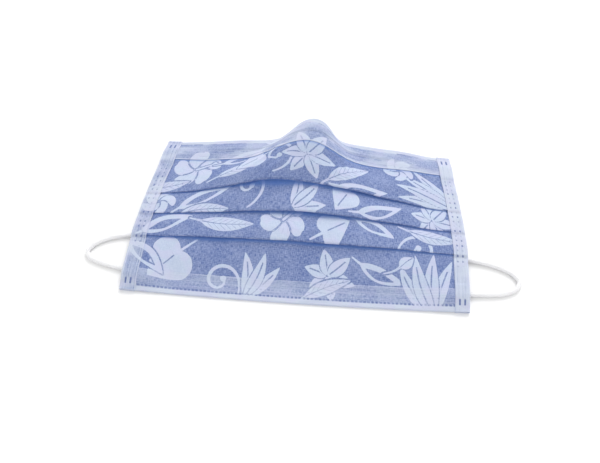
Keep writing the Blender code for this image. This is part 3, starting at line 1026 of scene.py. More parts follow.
@dataclass
class FoldedCloth(Sheet):
    """The printed cloth with its three pleats, from the chin edge to the nose edge."""

    name: str = "printed_panel"
    edge_inset: float = 0.0004
    side_inset: float = 0.0005
    columns: int = 352
    cell: float = 0.0005
    hidden_rows: int = 4
    hem_rows: int = 6
    tuck_steps: int = 4
    fold_steps: int = 6
    puff_within: float = 0.8
    puff_fade: float = 0.0060
    shade_reach: float = 0.0008
    hem_shade: float = 0.7

    OUTWARD = 1

    @property
    def held_by(self) -> list[str]:
        """The pieces that the sheet rests on."""
        return list(HOLDERS)

    @property
    def thickness(self) -> float:
        """The sheet's thickness."""
        return self.form.cloth

    @property
    def across(self) -> Array:
        """Places of the columns across the cloth."""
        half = self.form.half_width - self.side_inset
        return np.linspace(-half, half, self.columns + 1)

    def laid(self, moved: Array, raised: Array) -> Array:
        """Carry places up the cloth and their heights onto the form."""
        return self.form.place(self.across[None, :], moved, raised)

    def section(self, across: Array) -> tuple[Array, Array, Array]:
        """Follow the cloth's middle line from chin to nose, through its pleats.

        Args:
            across: Places across the cloth.

        Returns:
            up and height with a row for each step along the cloth and a column for each place
            across, and for each row whether it shows.
        """
        form = self.form
        base = form.cloth / 2
        hem = form.bottom_hem_depth - form.strip
        border = form.hem_border + form.strip
        first = form.pleat_lines(0, across)[0]
        rows_up = round((form.middle_fold(0) - hem) / self.cell)
        stretches = (
            (self.edge_inset, hem, np.linspace(0, 1, self.hem_rows + 1)[:-1]),
            (hem, first, np.linspace(0, 1, rows_up + 1)),
            (border, form.height - self.edge_inset, np.linspace(0, 1, self.hem_rows + 3)[1:]),
        )
        below, middle, above = (
            [Row(start + (end - start) * share, base) for share in shares]
            for start, end, shares in stretches
        )
        rows = below + middle
        for number in range(len(PLEATS)):
            rows += self._pleat(number, across)
        rows += above
        if len(rows) % 2 == 0:
            rows.insert(1, Row((rows[0].place + rows[1].place) / 2, base))
        return *stacked(rows, len(across)), np.array([row.shown for row in rows])

    def _pleat(self, number: int, across: Array) -> list[Row]:
        """Follow one pleat: under its fold, back to it, round it and on up.

        Args:
            number: The pleat's number from the chin.
            across: Places across the cloth.

        Returns:
            The rows.
        """
        form = self.form
        base = form.cloth / 2
        edge, tuck, pitch = form.pleat_lines(number, across)
        bend = pitch / 2
        stand = form.puff(number, across)
        hidden = np.linspace(0, 1, self.hidden_rows)[1:-1]
        rows = [Row(edge + (tuck - bend - edge) * share, base, False) for share in hidden]
        for angle in np.linspace(-math.pi / 2, math.pi / 2, self.tuck_steps + 1):
            up = tuck - bend + bend * math.cos(angle)
            rows.append(Row(up, base + bend + bend * math.sin(angle), False))
        for share in hidden:
            up = tuck - bend + (edge + bend - tuck + bend) * share
            lifted = stand * share ** 2 * self.puff_within
            rows.append(Row(up, base + 2 * bend + lifted, False))
        half_turn = np.linspace(math.pi * 1.5, math.pi / 2, self.fold_steps + 1)
        for step, angle in enumerate(half_turn):
            share = step / self.fold_steps
            lifted = stand * (self.puff_within + (1 - self.puff_within) * share)
            height = base + 3 * bend + bend * math.sin(angle) + lifted
            rows.append(Row(edge + bend + bend * math.cos(angle), height, share >= 0.5))
        last = number + 1 == len(PLEATS)
        if last:
            end = form.hem_border + form.strip
            landing = end - form.ramp_end_from_hem
            middle_end = form.hem_border
        else:
            end = form.pleat_lines(number + 1, across)[0]
            landing = end
            middle_end = form.middle_fold(number + 1)
        count = round((middle_end - form.middle_fold(number)) / self.cell)
        past_tuck = tuck + form.cloth / 2
        for share in np.linspace(0, 1, count + 1)[1:]:
            up = edge + bend + (end - edge - bend) * share
            fall = np.clip((up - past_tuck) / (landing - past_tuck), 0, 1)
            fall = ease(fall) if last else fall
            raised = 4 * bend + stand * bell(up - edge, self.puff_fade)
            rows.append(Row(up, base + raised * (1 - fall)))
        return rows

    def creases(self, up: Array, shown: Array) -> Array:
        """How deep each place lies in the shade of a fold, which is painted into the cloth's
        colour.

        Args:
            up: Places up the cloth, rows by columns.
            shown: For each row whether it shows.

        Returns:
            The depths, from 0 to 1.
        """
        # Painted shade: rows hidden under a fold, and the cloth just beneath each fold, get a depth
        # that darkens their colour.
        painted_fold_shade = np.where(shown, 0.0, 1.0)[:, None] * np.ones(up.shape[1])
        starts = [row for row in range(1, len(shown)) if shown[row - 1] and not shown[row]]
        first = 0
        for number, start in enumerate(starts):
            reach = self.shade_reach + self.form.puff(number, self.across)
            below = up[start - 1] - up[first:start]
            painted_fold_shade[first:start] = np.maximum(painted_fold_shade[first:start], bell(below, reach))
            first = start
        # Painted shade also lies just beneath the nose hem's border.
        past_border = up[first:] - self.form.hem_border
        beneath = bell(np.minimum(past_border, 0.0), self.shade_reach)
        above = (past_border > -3 * self.shade_reach) & shown[first:, None]
        painted_fold_shade[first:] = np.where(above, self.hem_shade * beneath, painted_fold_shade[first:])
        return painted_fold_shade

    def lengths(self) -> Array:
        """Distance along the cloth of each row, measured at its pressed side."""
        side = self.form.half_width - self.form.binding_width
        return run_lengths(*self.section(np.array([side]))[:2])[:, 0]

    def printed_at(self, across: Array, up: Array) -> Array:
        """Distance along the cloth of the print that shows at places on the mask.

        Args:
            across: One place across for each column.
            up: Places up the mask, rows by columns.

        Returns:
            Distances along the cloth, rows by columns.
        """
        ups, _, shown = self.section(across)
        along = self.lengths()[shown]
        columns = np.maximum.accumulate(ups[shown], axis=0)
        return np.stack(
            [np.interp(up[:, j], columns[:, j], along) for j in range(len(across))], axis=1
        )

    def top_height(self, across: float, up: Array) -> Array:
        """Height of the cloth's printed face.

        Args:
            across: One place across the cloth.
            up: Places up it.

        Returns:
            The heights there.
        """
        ups, heights, shown = self.section(np.array([across]))
        column = np.maximum.accumulate(ups[shown, 0])
        return np.interp(up, column, heights[shown, 0] + self.form.cloth / 2)

    def build(self) -> bpy.types.Object:
        """Make the pleated cloth as one closed sheet.

        Returns:
            The piece.
        """
        across = self.across
        up, height, shown = self.section(across)
        along = self.lengths()
        flat = (float(across[-1] - across[0]), float(along[-1]))
        places = (across, along[:, None], across, along[:, None])
        return self.sewn((up, height), flat, places, painted_fold_shade=self.creases(up, shown))


def pressed(distance: Array, half: float, soft: float = 0.3) -> Array:
    """Go from 1 within half of a line to 0 beyond it, over a soft margin."""
    return 1 - between(half - soft / 2, half + soft / 2, np.abs(distance))


@dataclass(frozen=True)
class WeldRow:
    """A row of small welds, in millimetres: where it lies, its spacing and each weld's size."""

    line: float
    pitch: float
    half_long: float
    half_wide: float
    strength: float
    start: float = -1000.0
    end: float = 1000.0
    unevenness: float = 0.0
    offset: float = 0.0

    def at(self, along: Array, from_line: Array) -> Array:
        """How far the row presses places on a strip.

        Args:
            along: Distance along the strip.
            from_line: Distance from its edge.

        Returns:
            The shares, from 0 to 1.
        """
        number = np.round((along - self.offset) / self.pitch)
        past = along - self.offset - number * self.pitch
        shape = pressed(past, self.half_long) * pressed(from_line - self.line, self.half_wide)
        uneven = 1 - self.unevenness * (0.5 + 0.5 * np.sin(number * 2.4 + np.sin(number * 1.7)))
        begun = between(self.start - 1, self.start + 1, along)
        ended = between(self.end - 1, self.end + 1, along)
        return self.strength * shape * uneven * begun * (1 - ended)


CHIN_WELDS = (
    WeldRow(2.9, 2.0, 0.58, 0.42, 1.0, unevenness=0.35),
    WeldRow(6.1, 2.0, 0.50, 0.36, 0.55, unevenness=0.9),
)
NOSE_WELDS = (
    WeldRow(2.7, 8.6, 2.5, 0.30, 0.8, unevenness=0.7),
    WeldRow(9.2, 8.6, 2.3, 0.30, 0.7, unevenness=0.8, offset=3.0),
    WeldRow(12.2, 8.6, 3.0, 0.25, 0.4, unevenness=0.8, offset=6.0),
    WeldRow(3.9, 8.6, 4.6, 0.20, 0.35, unevenness=0.5),
    WeldRow(7.6, 8.6, 4.6, 0.20, 0.35, unevenness=0.5, offset=4.0),
)
BINDING_WELDS = (
    WeldRow(2.7, 3.0, 0.55, 0.42, 1.0, start=24.0, end=78.0, unevenness=0.65),
    WeldRow(5.3, 3.0, 0.50, 0.42, 0.9, start=24.0, end=78.0, unevenness=0.4),
    *(
        WeldRow(line, 200.0, 1.5, 0.45, 1.0, offset=corner)
        for corner in (4.4, 92.4) for line in (2.6, 5.1)
    ),
)


def pressed_by(rows: Sequence[WeldRow], along: Array, from_line: Array) -> Array:
    """How far rows of welds press places on a strip, whose lengths are given in metres."""
    places = (along * MILLIMETRES, from_line * MILLIMETRES)
    return np.maximum.reduce([row.at(*places) for row in rows])


@dataclass
class HemStrip(Sheet):
    """A pale strip welded on the print along one edge and turned under the cloth."""

    cloth: FoldedCloth
    edge: Edge
    cell: float = 0.0004
    tuck_under: float = 0.0060
    turn_steps: int = 8
    side_inset: float = 0.0015
    wire_thickness: float = 0.0005
    wire_width: float = 0.0030
    wire_from_edge: float = 0.0057
    wire_length: float = 0.100
    channel_ramp: float = 0.0016
    channel_fade: float = 0.0140
    weld_depth: float = 0.00012

    @property
    def name(self) -> str:
        """The piece's name."""
        return "nose_hem" if self.edge is Edge.NOSE else "chin_hem"

    @property
    def order(self) -> int:
        """1, or -1 where the faces are laid from right to left."""
        return -self.edge.value

    @property
    def depth(self) -> float:
        """How far the strip reaches over the print."""
        form = self.form
        return form.top_hem_depth if self.edge is Edge.NOSE else form.bottom_hem_depth

    @property
    def across(self) -> Array:
        """Places of the columns across the cloth."""
        half = self.form.half_width - self.side_inset
        return np.linspace(-half, half, 2 * round(half / self.cell) + 1)

    def up(self, from_edge: Array) -> Array:
        """Turn distances from the strip's edge of the cloth into places up the cloth."""
        return self.form.height - from_edge if self.edge is Edge.NOSE else from_edge

    def laid(self, moved: Array, raised: Array) -> Array:
        """Carry distances from the edge and their heights onto the form."""
        return self.form.place(self.across[None, :], self.up(moved), raised)

    def channel(self, from_edge: float) -> Array:
        """How far the strip stands up over the nose wire.

        Args:
            from_edge: Distance from the edge.

        Returns:
            The height for each column.
        """
        if self.edge is Edge.CHIN:
            return np.zeros(len(self.across))
        past_end = np.abs(self.across) - self.wire_length / 2
        beside = abs(from_edge - self.wire_from_edge) - self.wire_width / 2
        along = 1 - ease(past_end / self.channel_fade)
        return (self.wire_thickness + self.form.gap) * along * (
            1 - ease(beside / self.channel_ramp)
        )

    def section(self) -> tuple[Array, Array]:
        """Follow the strip's middle line from its border out over the edge and back under.

        Returns:
            Distances from the edge and heights, rows by columns.
        """
        form = self.form
        over = form.cloth + form.gap + form.strip / 2
        under = -form.gap - form.strip / 2
        radius = (over - under) / 2
        start = form.strip / 2 + radius
        count = round(self.depth / self.cell)
        places = [self.depth + (start - self.depth) * i / count for i in range(count + 1)]
        rows = [Row(place, over + self.channel(place)) for place in places]
        for i in range(1, self.turn_steps):
            angle = math.pi / 2 - math.pi * i / self.turn_steps
            height = under + radius * (1 + math.sin(angle))
            rows.append(Row(start - radius * math.cos(angle), height))
        count = 2 * round(self.tuck_under / self.cell / 4)
        for i in range(count + 1):
            rows.append(Row(start + (self.tuck_under - start) * i / count, under))
        if len(rows) % 2 == 0:
            rows.append(Row(self.tuck_under + self.cell, under))
        return stacked(rows, len(self.across))

    def build(self) -> bpy.types.Object:
        """Make the strip as one closed sheet.

        Returns:
            The piece.
        """
        across = self.across
        section = self.section()
        run = run_lengths(*section)
        from_edge = self.depth - run
        welds = NOSE_WELDS if self.edge is Edge.NOSE else CHIN_WELDS
        weld = pressed_by(welds, across[None, :], from_edge)
        flat = (2 * (self.form.half_width - self.side_inset), float(run[-1, len(across) // 2]))
        along = self.cloth.printed_at(across, self.up(np.clip(section[0], 0.0, None)))
        places = (across, along, across, from_edge)
        return self.sewn(section, flat, places, self.weld_depth, weld)


@dataclass
class SideBinding(Sheet):
    """A pale strip folded round a side edge, over the ends of the pleats and hems."""

    cloth: FoldedCloth
    side: Side
    width: float
    cell: float = 0.00035
    turn_steps: int = 8
    turn_reach: float = 0.0008
    spread: float = 0.0011
    fine_step: float = 0.0001
    fine_margin: float = 0.002
    hem_allowance: float = 0.0015
    hem_under_start: float = 0.0060
    hem_under_end: float = 0.0085
    weld_depth: float = 0.00013

    @property
    def name(self) -> str:
        """The piece's name."""
        return "binding_" + self.side.word

    @property
    def inner(self) -> float:
        """Distance across to the strip's inner border."""
        return self.form.half_width - self.width

    @property
    def up(self) -> Array:
        """Places of the columns up the cloth."""
        height = self.form.height
        return np.linspace(0.0, height, 2 * round(height / self.cell / 2) + 1)

    def laid(self, moved: Array, raised: Array) -> Array:
        """Carry distances across and their heights onto the form."""
        return self.form.place(self.side.value * moved, self.up[None, :], raised)

    def cover_height(self) -> Array:
        """Height of the strip's middle line over the pleats and hems that it covers.

        Returns:
            The height for each column.
        """
        form = self.form
        fine = np.arange(-self.fine_margin, form.height + self.fine_margin, self.fine_step)
        top = self.cloth.top_height(self.side.value * self.inner, fine)
        chin = fine < form.bottom_hem_depth + self.hem_allowance
        nose = fine > form.hem_border - self.hem_allowance
        top = top + form.layer * (chin | nose)
        reach = round(self.spread / self.fine_step)
        padded = np.pad(top, reach, mode="edge")
        widest = np.max(np.stack([padded[i:i + len(top)] for i in range(2 * reach + 1)]), axis=0)
        kernel = np.hanning(2 * reach + 3)[1:-1]
        smooth = np.convolve(np.pad(widest, reach, mode="edge"), kernel / kernel.sum(), "valid")
        return np.interp(self.up, fine, smooth) + form.gap + form.strip / 2

    def section(self) -> tuple[Array, Array]:
        """Follow the strip's middle line from its under side round the edge and back over.

        Returns:
            Distances across and heights, rows by columns.
        """
        form = self.form
        up = self.up
        over = self.cover_height()
        from_end = np.minimum(up, form.height - up)
        covered = 1 - between(self.hem_under_start, self.hem_under_end, from_end)
        under = -form.gap - form.strip / 2 - form.layer * covered
        radius = (over - under) / 2
        turn = np.minimum(radius, self.turn_reach)
        start = form.half_width - form.strip / 2 - turn
        wide = 2 * round(self.width / self.cell / 2)
        rows = [
            Row(self.inner + (start - self.inner) * i / (wide // 2), under)
            for i in range(wide // 2 + 1)
        ]
        for i in range(1, self.turn_steps):
            angle = -math.pi / 2 + math.pi * i / self.turn_steps
            height = under + radius * (1 + math.sin(angle))
            rows.append(Row(start + turn * math.cos(angle), height))
        rows += [
            Row(self.inner + (start - self.inner) * (1 - i / wide), over) for i in range(wide + 1)
        ]
        if len(rows) % 2 == 0:
            rows.append(Row(self.inner - self.cell, over))
        return stacked(rows, len(up))

    def build(self) -> bpy.types.Object:
        """Make the strip as one closed sheet.

        Returns:
            The piece.
        """
        section = self.section()
        run = run_lengths(*section)
        from_edge = self.width - (run[-1] - run)
        weld = pressed_by(BINDING_WELDS, self.up[None, :], from_edge)
        flat = (float(run[-1].mean()), self.form.height)
        across = self.side.value * np.minimum(section[0][:, 0], self.form.half_width)
        up = np.repeat(self.up[:, None], len(across), axis=1)
        along = self.cloth.printed_at(across, up).T
        places = (across[:, None], along, from_edge, self.up)
        return self.sewn(section, flat, places, self.weld_depth, weld)


@dataclass
class NoseWire:
    """The flat coated wire that lies in the nose hem's channel."""

    form: MaskForm
    hem: HemStrip
    name: str = "flat_nose_wire"
    cell: float = 0.0006
    across_steps: int = 6

    def build(self) -> bpy.types.Object:
        """Make the wire as one closed bar that follows the bump.

        Returns:
            The piece.
        """
        form = self.form
        half = self.hem.wire_length / 2
        across = np.linspace(-half, half, 2 * round(half / self.cell) + 1)
        share = np.linspace(-0.5, 0.5, self.across_steps + 1)
        middle = form.height - self.hem.wire_from_edge
        across, up = np.meshgrid(across, middle + self.hem.wire_width * share)
        low = form.cloth + form.gap / 2
        heights = (low + self.hem.wire_thickness, low)
        piece = shell(self.name, *(form.place(across, up, height) for height in heights))
        places = (across * MILLIMETRES, up * MILLIMETRES)
        mark_cloth(piece, [ClothFace(*places, *places)] * 2)
        return piece


@dataclass
class EarLoop:
    """A round elastic cord that lies under the mask and out past its side edge."""

    form: MaskForm
    side: Side
    route: Sequence[tuple[float, float]]
    spacing: float = 0.0006
    curve_steps: int = 24
    round_steps: int = 24
    path_every: int = 4

    @property
    def name(self) -> str:
        """The piece's name."""
        return "elastic_" + self.side.word

    @property
    def node(self) -> str:
        """The frame's node that the cord stands for."""
        return "ear_loop_" + self.side.word

    @property
    def diameter(self) -> float:
        """The cord's diameter, which is the height of its solid."""
        low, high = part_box(self.node)
        return round(high.z - low.z, 5)

    def line(self) -> Array:
        """Follow a smooth curve through the route's own points.

        Returns:
            Points at an even spacing on the cord's middle line.
        """
        points = np.array(self.route) - np.array([0.0, self.form.middle_up])
        ends = np.concatenate([
            [2 * points[0] - points[1]], points, [2 * points[-1] - points[-2]],
        ])
        t = np.linspace(0, 1, self.curve_steps, endpoint=False)[:, None]
        fine = []
        for p0, p1, p2, p3 in zip(ends, ends[1:], ends[2:], ends[3:]):
            fine.append(0.5 * (
                2 * p1 + (p2 - p0) * t
                + (2 * p0 - 5 * p1 + 4 * p2 - p3) * t * t
                + (3 * p1 - p0 - 3 * p2 + p3) * t ** 3
            ))
        curve = np.concatenate(fine + [points[-1:]])
        run = run_lengths(curve[:, :1], curve[:, 1:])[:, 0]
        count = round(run[-1] / self.spacing)
        wanted = np.linspace(0, run[-1], count + 1)
        flat = [np.interp(wanted, run, curve[:, axis]) for axis in (0, 1)]
        low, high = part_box(self.node)
        return np.stack([*flat, np.full(count + 1, (low.z + high.z) / 2)], axis=-1)

    def build(self) -> bpy.types.Object:
        """Make the cord as a closed tube.

        Returns:
            The piece.
        """
        line = self.line()
        heading = np.gradient(line, axis=0)
        heading /= np.linalg.norm(heading, axis=1)[:, None]
        sideways = np.stack([-heading[:, 1], heading[:, 0], np.zeros(len(line))], axis=-1)
        turn = np.linspace(0, 2 * math.pi, self.round_steps + 1)
        radius = self.diameter / 2
        ring = (
            np.cos(turn)[None, :, None] * sideways[:, None, :]
            + np.sin(turn)[None, :, None] * np.array([0.0, 0.0, 1.0])
        )
        piece = laid_grid(self.name, line[:, None, :] + radius * ring)
        around, run = np.meshgrid(turn * radius, np.arange(len(line)) * self.spacing)
        places = (around * MILLIMETRES, run * MILLIMETRES)
        mark_cloth(piece, [ClothFace(*places, *places)])
        make_active(piece)
        bpy.ops.object.mode_set(mode="EDIT")
        bpy.ops.mesh.select_all(action="SELECT")
        bpy.ops.mesh.remove_doubles(threshold=MERGE_BELOW)
        bpy.ops.object.mode_set(mode="OBJECT")
        close_borders(piece, bpy.ops.mesh.edge_face_add)
        return piece

    def declare(self) -> None:
        """Work out the cord's middle line and diameter, which nothing takes up.
        """
        line = self.line()
        self.diameter


@dataclass(frozen=True)
class Studio:
    """The pale floor, soft lights and the camera."""

    azimuth: float = 6.969
    elevation: float = 58.026
    roll: float = -2.434
    target: tuple[float, float, float] = (0.000642, -0.007374, 0.0)
    distance: float = 0.353265
    lens: float = 39.99
    nearest: float = 0.01
    floor_size: float = 6.0
    floor_drop: float = 0.0001
    floor_shade: float = 0.97
    floor_roughness: float = 0.9
    sky_strength: float = 0.80
    key_power: float = 6.5
    key_size: float = 0.7
    key_place: tuple[float, float, float] = (0.25, 0.85, 0.85)

    def camera(self) -> None:
        """Add the camera at the photograph's viewing angle."""
        turn, tilt, roll = (
            math.radians(angle) for angle in (self.azimuth, self.elevation, self.roll)
        )
        forward = Vector((
            -math.sin(turn) * math.cos(tilt), math.cos(turn) * math.cos(tilt), -math.sin(tilt),
        ))
        right = Vector((math.cos(turn), math.sin(turn), 0.0))
        above = right.cross(forward)
        level = math.cos(roll) * right + math.sin(roll) * above
        upright = -math.sin(roll) * right + math.cos(roll) * above
        data = bpy.data.cameras.new("camera")
        data.lens = self.lens
        data.clip_start = self.nearest
        camera = bpy.data.objects.new("camera", data)
        bpy.context.scene.collection.objects.link(camera)
        place = Vector(self.target) - forward * self.distance
        axes = Matrix((level, upright, -forward)).transposed().to_4x4()
        camera.matrix_world = Matrix.Translation(place) @ axes
        bpy.context.scene.camera = camera

    def floor(self) -> None:
        """Add the plain pale floor."""
        bpy.ops.object.select_all(action="DESELECT")
        place = (0.0, 0.0, -self.floor_drop)
        bpy.ops.mesh.primitive_plane_add(size=self.floor_size, location=place)
        floor = bpy.context.active_object
        floor.name = "floor"
        finish = Nodes("floor")
        finish.dress(
            Base_Color=(*(self.floor_shade,) * 3, 1.0), Roughness=self.floor_roughness
        )
        floor.data.materials.append(finish.material)

    def lights(self) -> None:
        """Add the soft light and the even white surround."""
        scene = bpy.context.scene
        scene.world = bpy.data.worlds.new("studio")
        scene.world.use_nodes = True
        background = scene.world.node_tree.nodes["Background"]
        background.inputs["Color"].default_value = (1.0, 1.0, 1.0, 1.0)
        background.inputs["Strength"].default_value = self.sky_strength * STUDIO_GAIN
        data = bpy.data.lights.new("key", "AREA")
        data.size = self.key_size
        data.energy = self.key_power * STUDIO_GAIN
        key = bpy.data.objects.new("key", data)
        scene.collection.objects.link(key)
        place = Vector(self.key_place)
        key.location = place
        key.rotation_euler = (-place).to_track_quat("-Z", "Y").to_euler()
        scene.view_settings.view_transform = "Standard"

    def build(self) -> None:
        """Set up the studio."""
        self.camera()
        self.floor()
        self.lights()


class Colour(NamedTuple):
    """A colour as a screen shows it, from 0 to 255."""

    red: int
    green: int
    blue: int

    @property
    def linear(self) -> tuple[float, ...]:
        """The colour that shaders take, darker by as much as the studio is brighter.

        Returns:
            Red, green, blue and a full alpha, linear.
        """
        shares = [value / 255 for value in self]
        curved = [((share + 0.055) / 1.055) ** 2.4 for share in shares]
        return (*(value / STUDIO_GAIN for value in curved), 1.0)


def math_method(operation: str, reflected: bool = False) -> Callable[..., "Shade"]:
    """Make a method of a shade that adds a Math node.

    Args:
        operation: The node's operation.
        reflected: Whether the shade is the second operand.

    Returns:
        The method, which takes the other operand where there is one.
    """
    def method(self: "Shade", *others: "Shade | float") -> "Shade":
        """Do the operation on this shade.

        Args:
            *others: The other operand, where there is one.

        Returns:
            The result.
        """
        values = (*others, self) if reflected else (self, *others)
        return self.nodes.add(
            "ShaderNodeMath", {"operation": operation}, dict(enumerate(values))
        )
    return method


class Shade:
    """A shader socket whose arithmetic adds Math nodes to its material."""

    def __init__(self, nodes: "Nodes", socket: bpy.types.NodeSocket) -> None:
        """Wrap a node's output."""
        self.nodes = nodes
        self.socket = socket

    __add__ = math_method("ADD")
    __radd__ = math_method("ADD", reflected=True)
    __sub__ = math_method("SUBTRACT")
    __rsub__ = math_method("SUBTRACT", reflected=True)
    __mul__ = math_method("MULTIPLY")
    __rmul__ = math_method("MULTIPLY", reflected=True)
    __abs__ = math_method("ABSOLUTE")
    larger = math_method("MAXIMUM")
    sine = math_method("SINE")

    def eased(self, low: float, high: float) -> "Shade":
        """Ease from 0 at low to 1 at high."""
        sockets = {"Value": self, "From Min": low, "From Max": high}
        return self.nodes.add("ShaderNodeMapRange", {"interpolation_type": "SMOOTHSTEP"}, sockets)


class Nodes:
    """The nodes of one material, which starts as a single shader."""

    def __init__(self, name: str) -> None:
        """Start a material.

        Args:
            name: Its name.
        """
        self.material = bpy.data.materials.new(name)
        self.material.use_nodes = True
        self.tree = self.material.node_tree
        self.shader = self.tree.nodes["Principled BSDF"]

    def add(
        self, kind: str, settings: dict | None = None, sockets: dict | None = None,
        output: int | str = 0,
    ) -> Shade:
        """Add a node.

        Args:
            kind: The node's type.
            settings: Its own settings.
            sockets: Values or links of its sockets, by name or number.
            output: The output that is wrapped.

        Returns:
            The node's output.
        """
        node = self.tree.nodes.new(kind)
        for name, value in (settings or {}).items():
            setattr(node, name, value)
        for key, value in (sockets or {}).items():
            self.join(node.inputs[key], value)
        return Shade(self, node.outputs[output])

    def join(self, socket: bpy.types.NodeSocket, value: object) -> None:
        """Link a shade to a socket, or set the socket to a plain value or colour.

        Args:
            socket: The socket.
            value: A shade, a colour or a plain value.
        """
        if isinstance(value, Shade):
            self.tree.links.new(value.socket, socket)
            return
        socket.default_value = value.linear if isinstance(value, Colour) else value

    def dress(self, **values: object) -> None:
        """Set or link the shader's own sockets, named with _ for a space."""
        for name, value in values.items():
            self.join(self.shader.inputs[name.replace("_", " ")], value)

    def mark(self, name: str) -> Shade:
        """Read one of the piece's marks."""
        return self.add("ShaderNodeAttribute", {"attribute_name": name}, output="Fac")

    def axis(self, name: str) -> Shade:
        """One of the piece's cloth coordinates in millimetres, X or Y."""
        flat = self.add("ShaderNodeUVMap", {"uv_map": CLOTH_MAP})
        return self.add("ShaderNodeSeparateXYZ", None, {0: flat}, output=name)

    def noise(self, across: float, along: float, detail: float = 2.0) -> Shade:
        """Add even noise about one half.

        Args:
            across: Its cells to a millimetre across the piece.
            along: Its cells to a millimetre along the piece.
            detail: How many finer layers it has.

        Returns:
            The noise.
        """
        flat = self.add("ShaderNodeUVMap", {"uv_map": CLOTH_MAP})
        scaled = {"Vector": flat, "Scale": (across, along, 1.0)}
        places = self.add("ShaderNodeMapping", None, scaled)
        sockets = {"Vector": places, "Scale": 1.0, "Detail": detail}
        return self.add("ShaderNodeTexNoise", {"noise_dimensions": "2D"}, sockets)

    def mix(self, share: Shade | float, first: object, second: object) -> Shade:
        """Mix two colours."""
        sockets = {0: share, 6: first, 7: second}
        return self.add("ShaderNodeMix", {"data_type": "RGBA"}, sockets, output=2)

    def bump(self, height: Shade, distance: float, strength: float) -> Shade:
        """A Bump node for the shader's Normal."""
        sockets = {"Height": height, "Distance": distance, "Strength": strength}
        return self.add("ShaderNodeBump", None, sockets)


@dataclass(frozen=True)
class PrintedCloth:
    """Nonwoven cloth with the pale print on a mottled denim-blue ground, lined in white."""

    deep: Colour = Colour(96, 118, 174)
    light: Colour = Colour(155, 169, 208)
    pale: Colour = Colour(191, 205, 232)
    palest: Colour = Colour(208, 219, 241)
    white: Colour = Colour(226, 232, 243)
    # The colour of the painted shade beneath the folds.
    shade: Colour = Colour(108, 152, 228)
    lilac: Colour = Colour(206, 207, 238)
    roughness: float = 0.92
    dot_spacing: float = 1.3

    def tinted(self, nodes: Nodes, colour: object) -> Shade:
        """Tint a pale colour lilac in soft patches."""
        patches = nodes.noise(0.11, 0.16, detail=1.0).eased(0.40, 0.62)
        return nodes.mix(patches * 0.5, colour, self.lilac)

    def printed(self, nodes: Nodes) -> Shade:
        """The print's colour at each place, with painted shade beneath the folds.

        Args:
            nodes: The material's nodes.

        Returns:
            The colour.
        """
        threads = nodes.noise(0.5, 3.0) + nodes.noise(2.8, 0.5) - 1.0
        blotch = nodes.noise(0.07, 0.07, detail=3.0) - 0.5
        weave = 0.5 + threads * 1.7 + blotch * 0.6
        edge = nodes.mark("print_edge") + (nodes.noise(2.6, 2.6) - 0.5) * 0.22
        inside = edge.eased(-0.10, 0.10)
        rib = 1 - abs(nodes.mark("print_rib")).eased(0.26, 0.50)
        vein = (1 - abs(nodes.mark("print_vein")).eased(0.12, 0.32)) * 0.75
        lines = rib.larger(vein) * edge.eased(0.1, 1.1)
        ground = nodes.mix(weave.eased(0.0, 1.0), self.deep, self.light)
        pale = nodes.mix(weave.eased(-0.2, 1.2), self.pale, self.palest)
        shown = nodes.mix(inside * (1 - lines * 0.9), ground, self.tinted(nodes, pale))
        # Painted shade: the print turns deep blue where it lies beneath a fold.
        return nodes.mix(nodes.mark("painted_fold_shade") * 0.8, shown, self.shade)

    def relief(self, nodes: Nodes) -> Shade:
        """The height of the cloth's bonded dots and loose fibres.

        Args:
            nodes: The material's nodes.

        Returns:
            The height.
        """
        slant = 2 * math.pi / self.dot_spacing
        across = nodes.axis("X")
        along = nodes.axis("Y")
        dots = ((across + along) * slant).sine() * ((across - along) * slant).sine()
        return dots.eased(-0.2, 0.9) * -0.45 + nodes.noise(1.4, 5.0) + nodes.noise(5.0, 1.4)

    def make(self) -> bpy.types.Material:
        """Make the cloth's material.

        Returns:
            The material.
        """
        nodes = Nodes("printed_cloth")
        lining = nodes.mark("lining").eased(0.3, 0.7)
        nodes.dress(
            Base_Color=nodes.mix(lining, self.printed(nodes), self.white),
            Roughness=self.roughness,
            Normal=nodes.bump(self.relief(nodes), 0.00009, 0.8), **SOFT_LIGHT,
        )
        return nodes.material


